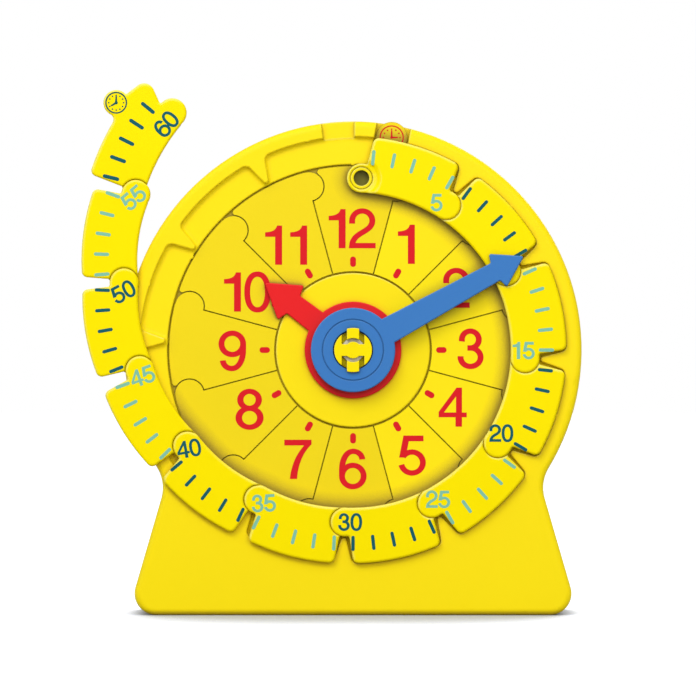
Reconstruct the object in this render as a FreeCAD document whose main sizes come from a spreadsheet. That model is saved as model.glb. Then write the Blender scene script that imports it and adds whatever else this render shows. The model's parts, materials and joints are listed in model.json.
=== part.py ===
import FreeCAD, Part
import math
import os
import Sketcher
from FreeCAD import Placement, Rotation, Vector

# Geared teaching clock: a round housing on a flared stand, twelve hinged hour tiles in a recess,
# a minute number line of twelve hinged links, two geared hands on a snap post, and the gear train
# behind the dial.
#
# Part frame: +Z up, front towards -Y, origin on the base under the dial axis, millimetres.
# Dial frame: x to the right, y up, z towards the viewer, origin on the dial axis in the rim plane.
# Every sub-part is drawn in the dial frame and its Placement turns it into the part frame.
# Clock angles run clockwise from twelve o'clock.

HOURS = 12
LINK_PITCH = 30
MINUTES_PER_LINK = 5
FULL_TURN = 360
HALF_TURN = 180
QUARTER_TURN = 90
SAME_PLACE = 1e-4
ROUNDING = 1e-9

# The driving dimensions: alias, value, meaning. Millimetres, or degrees where it says so.
SIZES = [
    # housing and stand
    ("dial_height", 184.3, "height of the dial axis above the base"),
    ("housing_radius", 159.0, "outer radius of the round housing"),
    ("front_depth", 20.0, "depth of the front housing behind the rim plane"),
    ("cover_depth", 12.0, "depth of the rear cover behind the front housing"),
    ("rim_y", 22.4, "distance of the rim plane in front of the origin"),
    ("wall", 3.0, "thickness of the outer walls"),
    ("edge_round", 4.5, "rounding of the outer edges"),
    ("base_half_width", 152.0, "half of the widest part of the stand"),
    ("base_corner", 15.0, "radius of the bottom corners of the stand"),
    ("stand_slope", 16.2, "degrees that the sides of the stand lean in"),
    ("neck_radius", 26.0, "hollow between the round housing and the stand"),
    ("foot_reach", 32.0, "how far the foot stands out behind the rear cover"),
    ("foot_height", 74.0, "height at which the foot starts to stand out"),
    ("foot_toe", 9.0, "height of the upright back edge of the foot"),
    ("foot_sweep", 95.0, "radius of the hollow back of the foot"),
    ("foot_cavity_half", 112.0, "half of the width of the hollow in the foot"),
    # pockets, rim teeth and recess
    ("pocket_depth", 3.5, "depth of the link pockets behind the rim plane"),
    ("pocket_margin", 0.4, "room between a seated link and the pocket's outer wall"),
    ("pocket_round", 2.6, "hollow between the walls and the floor of the pockets"),
    ("tooth_tip", 1.8, "tip radius of the teeth between the pockets"),
    ("tooth_reach", 17.6, "length of the teeth from the pocket wall inwards"),
    ("tooth_slope", 17.5, "degrees that each side of a tooth leans"),
    ("tooth_foot", 4.7, "hollow where a tooth meets the pocket wall"),
    ("nub_radius", 1.6, "radius of the nubs that hold links and tiles down"),
    ("link_nub_proud", 0.6, "how far a nub stands out of a pocket's outer wall"),
    ("tile_nub_proud", 0.9, "how far a nub stands out of the recess's outer wall"),
    ("plate_thickness", 3.0, "thickness of the dial plate"),
    ("plate_overlap", 4.0, "how far the dial plate reaches past the recess"),
    # hour tiles
    ("tile_thickness", 3.0, "thickness of the hour tiles"),
    ("tile_inner", 54.7, "inner radius of the ring of tiles"),
    ("tile_outer", 127.9, "outer radius of the ring of tiles"),
    ("tile_margin", 1.2, "gap between the ring of tiles and the recess"),
    ("tile_gap", 0.6, "gap between neighbouring tiles"),
    ("tile_hinge_radius", 117.7, "radius of the circle of tile hinges"),
    ("tile_lobe", 10.0, "radius of a tile's hinge lobe"),
    ("tile_lobe_thickness", 1.4, "thickness of a tile's hinge lobe"),
    ("tile_corner", 2.0, "rounding of a tile's outer corner"),
    ("tile_peg", 3.0, "radius of a tile's hinge peg"),
    ("tile_tab_radius", 10.8, "radius of the pull tab of tile 12"),
    ("tile_tab_reach", 150.2, "distance of the pull tab of tile 12 from the dial axis"),
    ("tile_tab_angle", 10.3, "clock angle of the pull tab of tile 12, degrees"),
    ("tile_neck", 10.0, "width of the neck of the pull tab of tile 12"),
    ("tile_neck_root", 1.0, "how far the neck of the pull tab reaches into tile 12"),
    # minute number line
    ("hinge_radius", 119.4, "radius of the circle of link hinges with the line closed"),
    ("first_hinge_angle", 2.8, "clock angle of the first link's eyelet, degrees"),
    ("link_outer", 147.9, "outer radius of the links with the line closed"),
    ("link_lobe", 10.0, "radius of a link's hinge lobe and of its tail"),
    ("link_lift", 0.3, "gap between the rim plane and the links"),
    ("link_thickness", 5.0, "thickness of the links"),
    ("lobe_thickness", 1.8, "thickness of a link's hinge lobe"),
    ("lap_gap", 0.25, "gap between a lobe and the tail below it"),
    ("side_gap", 0.35, "gap round a lobe or a tail"),
    ("link_edge_offset", 1.6, "distance of a link's end edge from its hinge, sideways"),
    ("link_edge_slope", 12.0, "degrees that a link's end edge leans"),
    ("link_corner", 4.2, "rounding of a link's outer corners"),
    ("link_notch_fillet", 1.6, "hollow between a link's end edge and its lobe"),
    ("link_bevel", 0.7, "bevel of a link's upper edge"),
    ("eyelet_ramp", 3.2, "width of the lead-in slope round the first link's eyelet"),
    ("eyelet_bore", 7.8, "radius of the bore in a link's tail"),
    ("running_clearance", 0.08, "radial clearance of the snap hinges"),
    ("peg_wall", 2.3, "wall of the hollow hinge pegs and of the stud"),
    ("snap_lip", 0.55, "how far a peg's snap lip stands out"),
    ("snap_lip_height", 0.7, "height of a peg's snap lip"),
    ("snap_play", 0.3, "axial and radial play of the snap lip"),
    ("last_centre_reach", 29.1, "distance of the last link's centre of curvature from the axis"),
    ("last_centre_angle", 220.0, "clock angle of the last link's centre of curvature"),
    ("last_outer", 178.2, "radius of the last link's outer edge"),
    ("pull_tab_radius", 8.9, "radius of the pull tab of the last link"),
    ("pull_tab_out", 5.9, "distance of the pull tab's centre outside the last link's outer edge"),
    ("pull_tab_angle", 25.7, "clock angle of the last link's pull tab, drawn as the first link"),
    ("shoulder_out", 2.7, "distance outside it of the edge between pull tab and peak, near the tab"),
    ("shoulder_angle", 29.9, "clock angle of that point of the edge"),
    ("peak_in", 1.2, "distance inside it of the last link's peak before rounding"),
    ("peak_angle", 36.0, "clock angle of the last link's peak"),
    ("peak_round", 7.1, "rounding of the last link's peak"),
    ("valley_reach", 130.9, "distance of the hollow beside the last link's lobe"),
    ("valley_angle", 32.8, "clock angle of the hollow beside the last link's lobe"),
    ("valley_round", 1.4, "rounding of the last link's hollows"),
    ("notch_margin", 1.2, "room round the last link's pull tab in the rim"),
    ("stud_bevel", 0.5, "bevel of the stud and of the rim of its eyelet"),
    ("stud_spigot", 5.0, "radius of the stud's spigot through the dial plate"),
    ("fixed_clearance", 0.05, "radial clearance of seats between fixed pieces"),
    ("stud_room", 0.4, "room between the stud and tile 12"),
    # opening of each hinge of the number line at rest, degrees; 0 is closed, 30 is straight
    ("opening_05", 0.0, "first link about the stud"),
    ("opening_10", 0.0, "hinge of link 10"),
    ("opening_15", 0.0, "hinge of link 15"),
    ("opening_20", 0.0, "hinge of link 20"),
    ("opening_25", 0.0, "hinge of link 25"),
    ("opening_30", 0.0, "hinge of link 30"),
    ("opening_35", 3.2, "hinge of link 35"),
    ("opening_40", 7.4, "hinge of link 40"),
    ("opening_45", 9.4, "hinge of link 45"),
    ("opening_50", 8.0, "hinge of link 50"),
    ("opening_55", 12.2, "hinge of link 55"),
    ("opening_60", 13.5, "hinge of link 60"),
    # hands
    ("hand_gap", 0.3, "axial gap between dial, hands and hooks"),
    ("hour_turn", 307.3, "clock angle of the hour hand at rest, degrees"),
    ("minute_turn", 61.2, "clock angle of the minute hand at rest, degrees"),
    ("hour_hub", 33.6, "radius of the hour hand's hub"),
    ("hour_thickness", 2.8, "thickness of the hour hand"),
    ("hour_shaft_root", 18.0, "width of the hour hand's shaft at its hub"),
    ("hour_shaft_end", 15.3, "width of the hour hand's shaft at its head"),
    ("hour_head_width", 30.0, "width of the hour hand's arrow head"),
    ("hour_notch_at", 52.0, "distance of the notches behind the hour hand's head"),
    ("hour_head_at", 54.3, "distance of the corners of the hour hand's head"),
    ("hour_tip", 77.3, "length of the hour hand from the axis"),
    ("minute_hub", 29.2, "radius of the minute hand's hub"),
    ("blade_gap", 0.5, "gap between the links and the minute hand's blade"),
    ("blade_thickness", 3.0, "thickness of the minute hand's blade"),
    ("minute_shaft_root", 20.1, "width of the minute hand's shaft at its hub"),
    ("minute_shaft_end", 13.6, "width of the minute hand's shaft at its head"),
    ("minute_head_width", 26.0, "width of the minute hand's arrow head"),
    ("minute_notch_at", 112.5, "distance of the notches behind the minute hand's head"),
    ("minute_head_at", 114.4, "distance of the corners of the minute hand's head"),
    ("minute_tip", 135.0, "length of the minute hand from the axis"),
    ("hub_bore", 13.9, "radius of the well in the minute hand's hub"),
    ("hub_floor", 2.6, "thickness of the floor of the hub's well"),
    ("hub_ring", 21.5, "radius of the ring engraved in the minute hand's hub"),
    ("hub_ring_width", 0.8, "width of the engraved ring"),
    ("hub_ring_depth", 0.4, "depth of the engraved ring"),
    ("hand_corner", 1.2, "rounding of the hands' corners"),
    ("hand_bevel", 0.5, "bevel of the hands' upper edges"),
    # snap post
    ("core_radius", 8.2, "radius of the fixed core"),
    ("core_below_bar", 1.2, "distance of the core's end behind the post's bar"),
    ("post_radius", 13.1, "radius of the snap post"),
    ("post_face", 2.0, "thickness of the post's face and bar"),
    ("post_proud", 0.7, "how far the post's face stands in front of the hub"),
    ("bar_height", 8.3, "height of the bar across the post"),
    ("bar_bulge", 5.8, "radius of the swelling in the middle of the bar"),
    ("window_width", 15.6, "width of the post's windows"),
    ("hook_width", 8.5, "width of the snap hooks"),
    ("hook_reach", 15.3, "distance of the hooks' tips from the axis"),
    ("hook_thickness", 1.9, "thickness of the hooks over the hub"),
    ("hook_root", 1.2, "height of the ring that carries the hooks"),
    # gear train
    ("module_size", 1.6, "module of all the gears"),
    ("pressure_angle", 20.0, "pressure angle, degrees"),
    ("minute_pinion_teeth", 15, "teeth of the minute pinion"),
    ("idler_gear_teeth", 45, "teeth of the idler's gear"),
    ("idler_pinion_teeth", 12, "teeth of the idler's pinion"),
    ("hour_wheel_teeth", 48, "teeth of the hour wheel"),
    ("addendum", 0.8, "addendum as a share of the module"),
    ("dedendum", 1.15, "dedendum as a share of the module"),
    ("backlash", 0.24, "backlash along the pitch circle"),
    ("gear_face", 5.0, "face width of the gears"),
    ("gear_gap", 0.5, "axial gap between the two stages"),
    ("arbor_wall", 2.1, "wall of the minute arbor's tube"),
    ("wheel_tube_wall", 1.9, "wall of the hour wheel's tube"),
    ("tube_clearance", 0.08, "radial running clearance between the tubes"),
    ("arbor_flange", 1.5, "thickness of the minute arbor's thrust flange"),
    ("axle_radius", 3.0, "radius of the idler's axle"),
    ("axle_seat", 1.6, "depth of the axle's seat in the dial plate"),
    ("wheel_web", 2.2, "thickness of the web of the large gears"),
    ("wheel_rim", 4.5, "width of the rim of the large gears, inside the teeth"),
    ("wheel_hub_wall", 3.5, "wall of the hub of the large gears"),
    # cover screws
    ("boss_radius", 4.5, "radius of the screw bosses"),
    ("boss_circle", 141.0, "radius of the circle of the four upper screws"),
    ("boss_angle", 50.0, "clock angle of the upper screws, degrees"),
    ("foot_screw_x", 118.0, "distance of the lower screws from the middle"),
    ("foot_screw_height", 30.0, "height of the lower screws above the base"),
    ("screw_radius", 1.6, "radius of the screws' shanks"),
    ("screw_hold", 10.0, "length of a screw in its boss"),
    ("screw_head", 3.2, "radius of the screws' heads"),
    ("screw_head_height", 2.0, "height of the screws' heads"),
    ("screw_room", 0.3, "radial room round a screw in the rear cover"),
    ("core_boss_wall", 4.0, "wall of the bosses that hold the core and the axle"),
]

# Levels and radii that follow from the driving dimensions: alias, formula, meaning.
DERIVED = [
    ("last_edge", "=last_outer - last_centre_reach", "distance of the last link's outer edge from the axis"),
    ("pull_tab_reach", "=last_edge + pull_tab_out", "distance of the pull tab's centre from the axis"),
    ("shoulder_reach", "=last_edge + shoulder_out", "distance of the edge beside the tab from the axis"),
    ("peak_reach", "=last_edge - peak_in", "distance of the last link's peak from the axis"),
    ("housing_depth", "=front_depth + cover_depth", "depth of the housing without its foot"),
    ("link_inner", "=hinge_radius - link_lobe", "inner radius of the closed number line"),
    ("pocket_radius", "=link_outer + pocket_margin", "outer radius of the pockets"),
    ("recess_outer", "=tile_outer + tile_margin", "outer radius of the tile recess"),
    ("recess_inner", "=tile_inner - tile_margin", "radius of the fixed middle disc"),
    ("plate_radius", "=recess_outer + plate_overlap", "radius of the thick dial plate"),
    ("pocket_floor", "=-pocket_depth", "level of the pockets, tiles and middle disc"),
    ("recess_floor", "=pocket_floor - tile_thickness", "level of the floor under the tiles"),
    ("plate_back", "=recess_floor - plate_thickness", "level of the back of the dial plate"),
    ("parting", "=-front_depth", "level where the two shells meet"),
    ("cover_floor", "=wall - housing_depth", "level of the inside of the rear cover"),
    ("cover_back", "=-housing_depth", "level of the back of the rear cover"),
    ("foot_back", "=cover_back - foot_reach", "level of the back edge of the foot"),
    ("tile_tail_thickness", "=tile_thickness - tile_lobe_thickness - lap_gap", "tail of a tile"),
    ("link_top", "=link_lift + link_thickness", "level of the links' upper face"),
    ("lobe_underside", "=link_top - lobe_thickness", "level of the lobes' lower face"),
    ("tail_top", "=lobe_underside - lap_gap", "level of the tails' upper face"),
    ("tail_thickness", "=tail_top - link_lift", "thickness of the tails"),
    ("side_cut", "=link_lobe + side_gap", "radius of the room round a lobe or tail"),
    ("peg_radius", "=eyelet_bore - running_clearance", "radius of the pegs and the stud"),
    ("peg_bore", "=peg_radius - peg_wall", "bore of the pegs and the stud"),
    ("peg_height", "=lobe_underside - link_lift", "length of the pegs"),
    ("lip_radius", "=peg_radius + snap_lip", "radius of a peg's snap lip"),
    ("lip_seat", "=lip_radius + snap_play", "radius of the seat of the snap lip"),
    ("lip_seat_depth", "=snap_lip_height + snap_play", "depth of the seat of the snap lip"),
    ("hour_hand_back", "=pocket_floor + hand_gap", "level of the hour hand's back"),
    ("hour_hand_front", "=hour_hand_back + hour_thickness", "level of the hour hand's front"),
    ("minute_hub_back", "=hour_hand_front + hand_gap", "level of the back of the minute hub"),
    ("blade_back", "=link_top + blade_gap", "level of the back of the minute hand's blade"),
    ("minute_front", "=blade_back + blade_thickness", "level of the minute hand's front"),
    ("minute_hub_height", "=minute_front - minute_hub_back", "height of the minute hub"),
    ("well_floor", "=minute_hub_back + hub_floor", "level of the floor of the hub's well"),
    ("well_depth", "=minute_front - well_floor", "depth of the hub's well"),
    ("post_front", "=minute_front + post_proud", "level of the post's face"),
    ("post_back", "=well_floor + hand_gap", "level of the back of the post"),
    ("post_height", "=post_front - post_back", "height of the post"),
    ("post_bore", "=core_radius + fixed_clearance", "bore of the post"),
    ("post_inner_height", "=post_height - post_face", "depth of the post behind its face"),
    ("hook_back", "=minute_front + hand_gap", "level of the underside of the hooks"),
    ("hook_front", "=hook_back + hook_thickness", "level of the top of the hooks"),
    ("hook_height", "=hook_front - post_back - hook_root", "height of the hooks' arms"),
    ("core_front", "=post_front - post_face - core_below_bar", "level of the core's front end"),
    ("core_length", "=core_front - cover_floor", "length of the core"),
    ("arbor_bore", "=core_radius + tube_clearance", "bore of the minute arbor"),
    ("arbor_radius", "=arbor_bore + arbor_wall", "radius of the minute arbor's tube"),
    ("wheel_bore", "=arbor_radius + tube_clearance", "bore of the hour wheel's tube"),
    ("wheel_tube", "=wheel_bore + wheel_tube_wall", "radius of the hour wheel's tube"),
    ("plate_bore", "=wheel_tube + tube_clearance", "bore of the dial plate for the tube"),
    ("wheel_back", "=plate_back - hand_gap - gear_face", "level of the back of the hour wheel"),
    ("pair_back", "=wheel_back - gear_gap - gear_face", "level of the back of the first stage"),
    ("arbor_back", "=pair_back - arbor_flange", "level of the back of the thrust flange"),
    ("core_boss_front", "=arbor_back - hand_gap", "level of the front of the core's boss"),
    ("core_boss_height", "=core_boss_front - cover_floor", "height of the core's boss"),
    ("gear_distance", "=module_size * (minute_pinion_teeth + idler_gear_teeth) / 2",
     "distance between the dial axis and the idler's axle"),
    ("axle_length", "=plate_back + axle_seat - cover_floor", "length of the idler's axle"),
    ("axle_bore", "=axle_radius + tube_clearance", "bore of the idler"),
    ("screw_length", "=screw_hold + cover_depth - screw_head_height", "length of the shanks"),
    ("stud_seat", "=stud_spigot + fixed_clearance", "hole for the stud's spigot"),
    ("stud_window", "=peg_radius + stud_room", "hole in tile 12 round the stud"),
    ("core_boss", "=core_radius + core_boss_wall", "radius of the core's boss"),
    ("core_seat", "=core_radius + fixed_clearance", "bore of the core's boss"),
    ("axle_boss", "=axle_radius + core_boss_wall", "radius of the axle's boss"),
    ("axle_hole", "=axle_radius + fixed_clearance", "bore of the axle's boss"),
    ("tile_cut", "=tile_lobe + tile_gap", "radius of the room round a tile's lobe"),
    ("tile_tail_top", "=recess_floor + tile_tail_thickness", "level of a tail's upper face"),
    ("tile_lobe_underside", "=pocket_floor - tile_lobe_thickness", "level of a lobe's lower face"),
    ("tile_peg_hole", "=tile_peg + running_clearance", "radius of the hole for a tile's peg"),
    ("tile_peg_height", "=tile_lobe_underside - recess_floor", "length of a tile's peg"),
    ("screw_bore", "=screw_radius + screw_room", "screw holes in the rear cover"),
    ("screw_sink", "=screw_head + screw_room", "radius of the screw heads' seats"),
    ("foot_width", "=base_half_width * 2 + foot_reach", "width of the cut behind the foot"),
    ("hub_ring_inner", "=hub_ring - hub_ring_width", "inner radius of the engraved ring"),
    ("minute_pinion_root", "=module_size * (minute_pinion_teeth / 2 - dedendum)", "root radius"),
    ("minute_pinion_tip", "=module_size * (minute_pinion_teeth / 2 + addendum)", "tip radius"),
    ("idler_gear_root", "=module_size * (idler_gear_teeth / 2 - dedendum)", "root radius"),
    ("idler_pinion_root", "=module_size * (idler_pinion_teeth / 2 - dedendum)", "root radius"),
    ("hour_wheel_root", "=module_size * (hour_wheel_teeth / 2 - dedendum)", "root radius"),
    ("idler_hub", "=axle_bore + wheel_hub_wall", "radius of the idler's hub"),
    ("idler_web_outer", "=idler_gear_root - wheel_rim", "inner edge of the idler's rim"),
    ("idler_web_inner", "=idler_hub", "outer edge of the idler's hub"),
    ("wheel_web_outer", "=hour_wheel_root - wheel_rim", "inner edge of the hour wheel's rim"),
    ("wheel_web_inner", "=wheel_tube + wheel_hub_wall", "outer edge of the hour wheel's hub"),
]


def make_sheet(doc):
    """The spreadsheet that holds the driving dimensions and what follows from them."""
    sheet = doc.addObject("Spreadsheet::Sheet", "Sizes")
    rows = [(alias, str(value), note) for alias, value, note in SIZES] + DERIVED
    for row, (alias, content, note) in enumerate(rows, start=1):
        sheet.set(f"A{row}", alias)
        sheet.set(f"B{row}", content)
        sheet.set(f"C{row}", note)
        sheet.setAlias(f"B{row}", alias)
    doc.recompute()
    return sheet


document = FreeCAD.newDocument("teaching_clock")
sizes = make_sheet(document)


def size(alias):
    """The value of one cell of the sheet."""
    return float(getattr(sizes, alias))


# ---------------------------------------------------------------- small geometry

def polar(radius, clock_angle):
    """A point at a clock angle, clockwise from twelve."""
    angle = math.radians(clock_angle)
    return Vector(radius * math.sin(angle), radius * math.cos(angle), 0)


def outward(clock_angle):
    """Unit vector away from the dial axis."""
    return polar(1, clock_angle)


def clockwise(clock_angle):
    """Unit vector along the dial circle, clockwise."""
    return polar(1, clock_angle + QUARTER_TURN)


def mirrored(point):
    """The same point on the other side of the upright axis."""
    return Vector(-point.x, point.y, point.z)


def blend_centre(on_line, direction, side, radius, centre, distance):
    """Centre of an arc that touches a line, at a given distance from another centre.

    The line runs through on_line along direction; side is its unit normal towards the arc.
    Of the two solutions this is the one further along direction."""
    base = on_line + side * radius - centre
    along = base.dot(direction)
    across = base.dot(base) - distance ** 2
    return centre + base + direction * (-along + math.sqrt(along ** 2 - across))


def foot_on_line(on_line, direction, point):
    """The point of a line nearest to a given point."""
    return on_line + direction * (point - on_line).dot(direction)


def towards(start, goal, distance):
    """A point at a distance from start in the direction of goal."""
    return start + (goal - start).normalize() * distance


def dial_placement(turn=0.0, centre=None):
    """Places dial-frame geometry in the part frame, turned clockwise about the dial axis."""
    upright = Placement(Vector(0, -size("rim_y"), size("dial_height")), Rotation(Vector(1, 0, 0), QUARTER_TURN))
    spin = Placement(Vector(0, 0, 0), Rotation(Vector(0, 0, 1), -turn))
    shift = Placement(centre or Vector(0, 0, 0), Rotation())
    return upright.multiply(shift).multiply(spin)


# ---------------------------------------------------------------- sketches and features

class Outline:
    """A closed outline drawn edge by edge; its arcs take their radii from the sheet."""

    def __init__(self, sketch, start):
        self.sketch = sketch
        self.start = start
        self.last = start
        self.joints = []

    def line(self, end):
        """A straight edge to end."""
        index = self.sketch.addGeometry(Part.LineSegment(self.last, end), False)
        self.joints.append((index, 1, 2))
        self.last = end
        return self

    def arc(self, centre, end, turn, radius=None):
        """An arc about centre to end; turn is "cw" or "ccw"; radius names its size."""
        reach = (self.last - centre).Length
        first, second = (self.last, end) if turn == "ccw" else (end, self.last)
        start_angle = math.atan2(first.y - centre.y, first.x - centre.x)
        end_angle = math.atan2(second.y - centre.y, second.x - centre.x)
        if end_angle <= start_angle:
            end_angle += 2 * math.pi
        circle = Part.Circle(centre, Vector(0, 0, 1), reach)
        index = self.sketch.addGeometry(Part.ArcOfCircle(circle, start_angle, end_angle), False)
        self.joints.append((index, 1, 2) if turn == "ccw" else (index, 2, 1))
        if centre.Length == 0:
            self.sketch.addConstraint(Sketcher.Constraint("Coincident", index, 3, -1, 1))
        if radius:
            bind(self.sketch, Sketcher.Constraint("Radius", index, reach), radius)
        self.last = end
        return self

    def close(self):
        """Joins the edges end to end."""
        if (self.last - self.start).Length > ROUNDING:
            self.line(self.start)
        followers = self.joints[1:] + self.joints[:1]
        for (index, _, tail), (following, head, _) in zip(self.joints, followers):
            self.sketch.addConstraint(Sketcher.Constraint("Coincident", index, tail, following, head))
        return self.sketch


def bind(sketch, constraint, alias):
    """Adds a constraint and ties its value to the sheet."""
    number = sketch.addConstraint(constraint)
    sketch.setExpression(f"Constraints[{number}]", f"Sizes.{alias}")


def origin_plane(body, role):
    """One of the body's own origin planes or axes."""
    return next(item for item in body.Origin.OriginFeatures if item.Role == role)


def new_body(name, placement):
    """A body whose label names its file."""
    body = document.addObject("PartDesign::Body", name)
    body.Label = name
    body.Placement = placement
    return body


def new_sketch(body, name, level=None, role="XY_Plane"):
    """A sketch on an origin plane of its body, raised to a level of the sheet."""
    sketch = body.newObject("Sketcher::SketchObject", f"{body.Name}_{name}")
    sketch.AttachmentSupport = (origin_plane(body, role), [""])
    sketch.MapMode = "FlatFace"
    if level:
        sketch.setExpression("AttachmentOffset.Base.z", f"Sizes.{level}")
    return sketch


def circle(sketch, alias, centre=None):
    """A circle with its radius from the sheet."""
    centre = centre or Vector(0, 0, 0)
    index = sketch.addGeometry(Part.Circle(centre, Vector(0, 0, 1), size(alias)), False)
    if centre.Length == 0:
        sketch.addConstraint(Sketcher.Constraint("Coincident", index, 3, -1, 1))
    bind(sketch, Sketcher.Constraint("Radius", index, size(alias)), alias)
    return sketch


def disc_sketch(body, name, level, outer, inner=None, centre=None):
    """A sketch of a disc, or of a ring where inner is given."""
    sketch = circle(new_sketch(body, name, level), outer, centre)
    if inner:
        circle(sketch, inner, centre)
    return sketch


def pad(body, sketch, length, name="pad"):
    """Adds material from the sketch towards the viewer."""
    feature = body.newObject("PartDesign::Pad", f"{body.Name}_{name}")
    feature.Profile = sketch
    feature.setExpression("Length", length_formula(length))
    return feature


def pocket(body, sketch, length, name="cut", forward=False):
    """Cuts away from the viewer, or towards the viewer where forward is set."""
    feature = body.newObject("PartDesign::Pocket", f"{body.Name}_{name}")
    feature.Profile = sketch
    feature.Reversed = forward
    feature.setExpression("Length", length_formula(length))
    return feature


def length_formula(length):
    """An alias, or a sum of aliases written with + and -, as an expression on the sheet."""
    terms = length.replace("-", "+ -").split("+")
    named = []
    for term in terms:
        word = term.strip()
        if word.startswith("-"):
            named.append(f"-Sizes.{word[1:].strip()}")
        elif word:
            named.append(f"Sizes.{word}")
    return " + ".join(named)


def polar_pattern(body, sketch, feature, count, step, name="pattern"):
    """Repeats a feature clockwise about the dial axis, step degrees apart."""
    pattern = body.newObject("PartDesign::PolarPattern", f"{body.Name}_{name}")
    pattern.Originals = [feature]
    pattern.Axis = (sketch, ["N_Axis"])
    pattern.Reversed = True
    full = abs(count * step - FULL_TURN) < ROUNDING
    pattern.Angle = FULL_TURN if full else (count - 1) * step
    pattern.Occurrences = count
    body.Tip = pattern
    return pattern


def round_edges(body, base, alias, chosen, name="round"):
    """Rounds the edges of the base feature that the test picks."""
    document.recompute()
    names = [f"Edge{number}" for number, edge in enumerate(base.Shape.Edges, start=1) if chosen(edge)]
    feature = body.newObject("PartDesign::Fillet", f"{body.Name}_{name}")
    feature.Base = (base, names)
    feature.setExpression("Radius", f"Sizes.{alias}")
    return feature


def bevel_edges(body, base, alias, chosen, name="bevel"):
    """Bevels the edges of the base feature that the test picks."""
    document.recompute()
    names = [f"Edge{number}" for number, edge in enumerate(base.Shape.Edges, start=1) if chosen(edge)]
    feature = body.newObject("PartDesign::Chamfer", f"{body.Name}_{name}")
    feature.Base = (base, names)
    feature.setExpression("Size", f"Sizes.{alias}")
    return feature


def lies_at(edge, level):
    """True if the whole edge lies at one level of the dial frame."""
    box = edge.BoundBox
    return abs(box.ZMin - level) < SAME_PLACE and abs(box.ZMax - level) < SAME_PLACE


def is_rim(edge, level, alias):
    """True for a circle at one level of the dial frame with its radius in the sheet."""
    return lies_at(edge, level) and abs(edge.Curve.Radius - size(alias)) < SAME_PLACE


def is_upright(edge):
    """True for a straight edge along the dial axis."""
    box = edge.BoundBox
    return box.XLength < SAME_PLACE and box.YLength < SAME_PLACE


# ---------------------------------------------------------------- housing

def housing_outline(sketch, inset=0.0):
    """The round housing with its waist and flared stand; inset moves it inwards all round."""
    radius = size("housing_radius") - inset
    corner = size("base_corner") - inset
    slope = math.radians(size("stand_slope"))
    bottom = -size("dial_height") + inset
    neck = size("neck_radius") + inset
    corner_centre = Vector(size("base_half_width") - size("base_corner"), bottom + corner, 0)
    up_side = Vector(-math.sin(slope), math.cos(slope), 0)
    side_normal = Vector(math.cos(slope), math.sin(slope), 0)
    side_foot = corner_centre + side_normal * corner
    axis = Vector(0, 0, 0)
    # of the two arcs that touch side and circle, the waist is the lower one
    base = side_foot + side_normal * neck
    along = base.dot(up_side)
    reach = base.dot(base) - (radius + neck) ** 2
    neck_centre = base + up_side * (-along - math.sqrt(along ** 2 - reach))
    side_top = neck_centre - side_normal * neck
    circle_foot = towards(axis, neck_centre, radius)
    bottom_right = Vector(corner_centre.x, bottom, 0)
    named = inset == 0
    outline = Outline(sketch, mirrored(bottom_right))
    outline.line(bottom_right)
    outline.arc(corner_centre, side_foot, "ccw", "base_corner" if named else None)
    outline.line(side_top)
    outline.arc(neck_centre, circle_foot, "cw", "neck_radius" if named else None)
    outline.arc(axis, mirrored(circle_foot), "ccw", "housing_radius" if named else None)
    outline.arc(mirrored(neck_centre), mirrored(side_top), "cw", "neck_radius" if named else None)
    outline.line(mirrored(side_foot))
    outline.arc(mirrored(corner_centre), mirrored(bottom_right), "ccw",
                "base_corner" if named else None)
    return outline.close()


def screw_places():
    """Centres of the cover screws in the dial frame."""
    ring = size("boss_circle")
    angle = size("boss_angle")
    upper = [polar(ring, turn) for turn in (angle, HALF_TURN - angle, HALF_TURN + angle, -angle)]
    height = size("foot_screw_height") - size("dial_height")
    lower = [Vector(size("foot_screw_x"), height, 0), Vector(-size("foot_screw_x"), height, 0)]
    return upper + lower


def idler_centre():
    """The idler's axle stands below the dial axis."""
    return Vector(0, -size("gear_distance"), 0)


def stud_centre():
    """The stud that carries the first link."""
    return polar(size("hinge_radius"), size("first_hinge_angle"))


def tooth_outline(sketch, angle):
    """A tooth between two pockets, narrow at its tip and hollowed where it meets the wall."""
    middle = outward(angle)
    across = clockwise(angle)
    tip = size("tooth_tip")
    wall = size("pocket_radius")
    foot = size("tooth_foot")
    slope = math.radians(size("tooth_slope"))
    tip_centre = middle * (wall - size("tooth_reach") + tip)
    axis = Vector(0, 0, 0)
    sides = []
    for sign in (-1, 1):
        normal = across * (sign * math.cos(slope)) - middle * math.sin(slope)
        along = middle * math.cos(slope) + across * (sign * math.sin(slope))
        touch = tip_centre + normal * tip
        centre = blend_centre(touch, along, normal, foot, axis, wall - foot)
        sides.append((touch, foot_on_line(touch, along, centre), centre, towards(axis, centre, wall)))
    (left_tip, left_side, left_centre, left_wall), (right_tip, right_side, right_centre, right_wall) = sides
    beyond = size("tooth_foot")
    outline = Outline(sketch, left_wall)
    outline.arc(left_centre, left_side, "cw", "tooth_foot")
    outline.line(left_tip)
    outline.arc(tip_centre, right_tip, "ccw", "tooth_tip")
    outline.line(right_side)
    outline.arc(right_centre, right_wall, "cw", "tooth_foot")
    outline.line(towards(axis, right_wall, wall + beyond))
    outline.line(towards(axis, left_wall, wall + beyond))
    return outline.close()


def tab_channel(sketch):
    """The channel through the rim for the pull tab of tile 12."""
    angle = size("tile_tab_angle")
    half = size("tile_tab_radius") + size("tile_margin")
    inner = outward(angle) * (size("recess_outer") - size("tile_margin"))
    outer = outward(angle) * (size("housing_radius") + size("tile_margin"))
    side = clockwise(angle) * half
    outline = Outline(sketch, inner - side)
    outline.line(outer - side)
    outline.line(outer + side)
    outline.line(inner + side)
    return outline.close()


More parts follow.
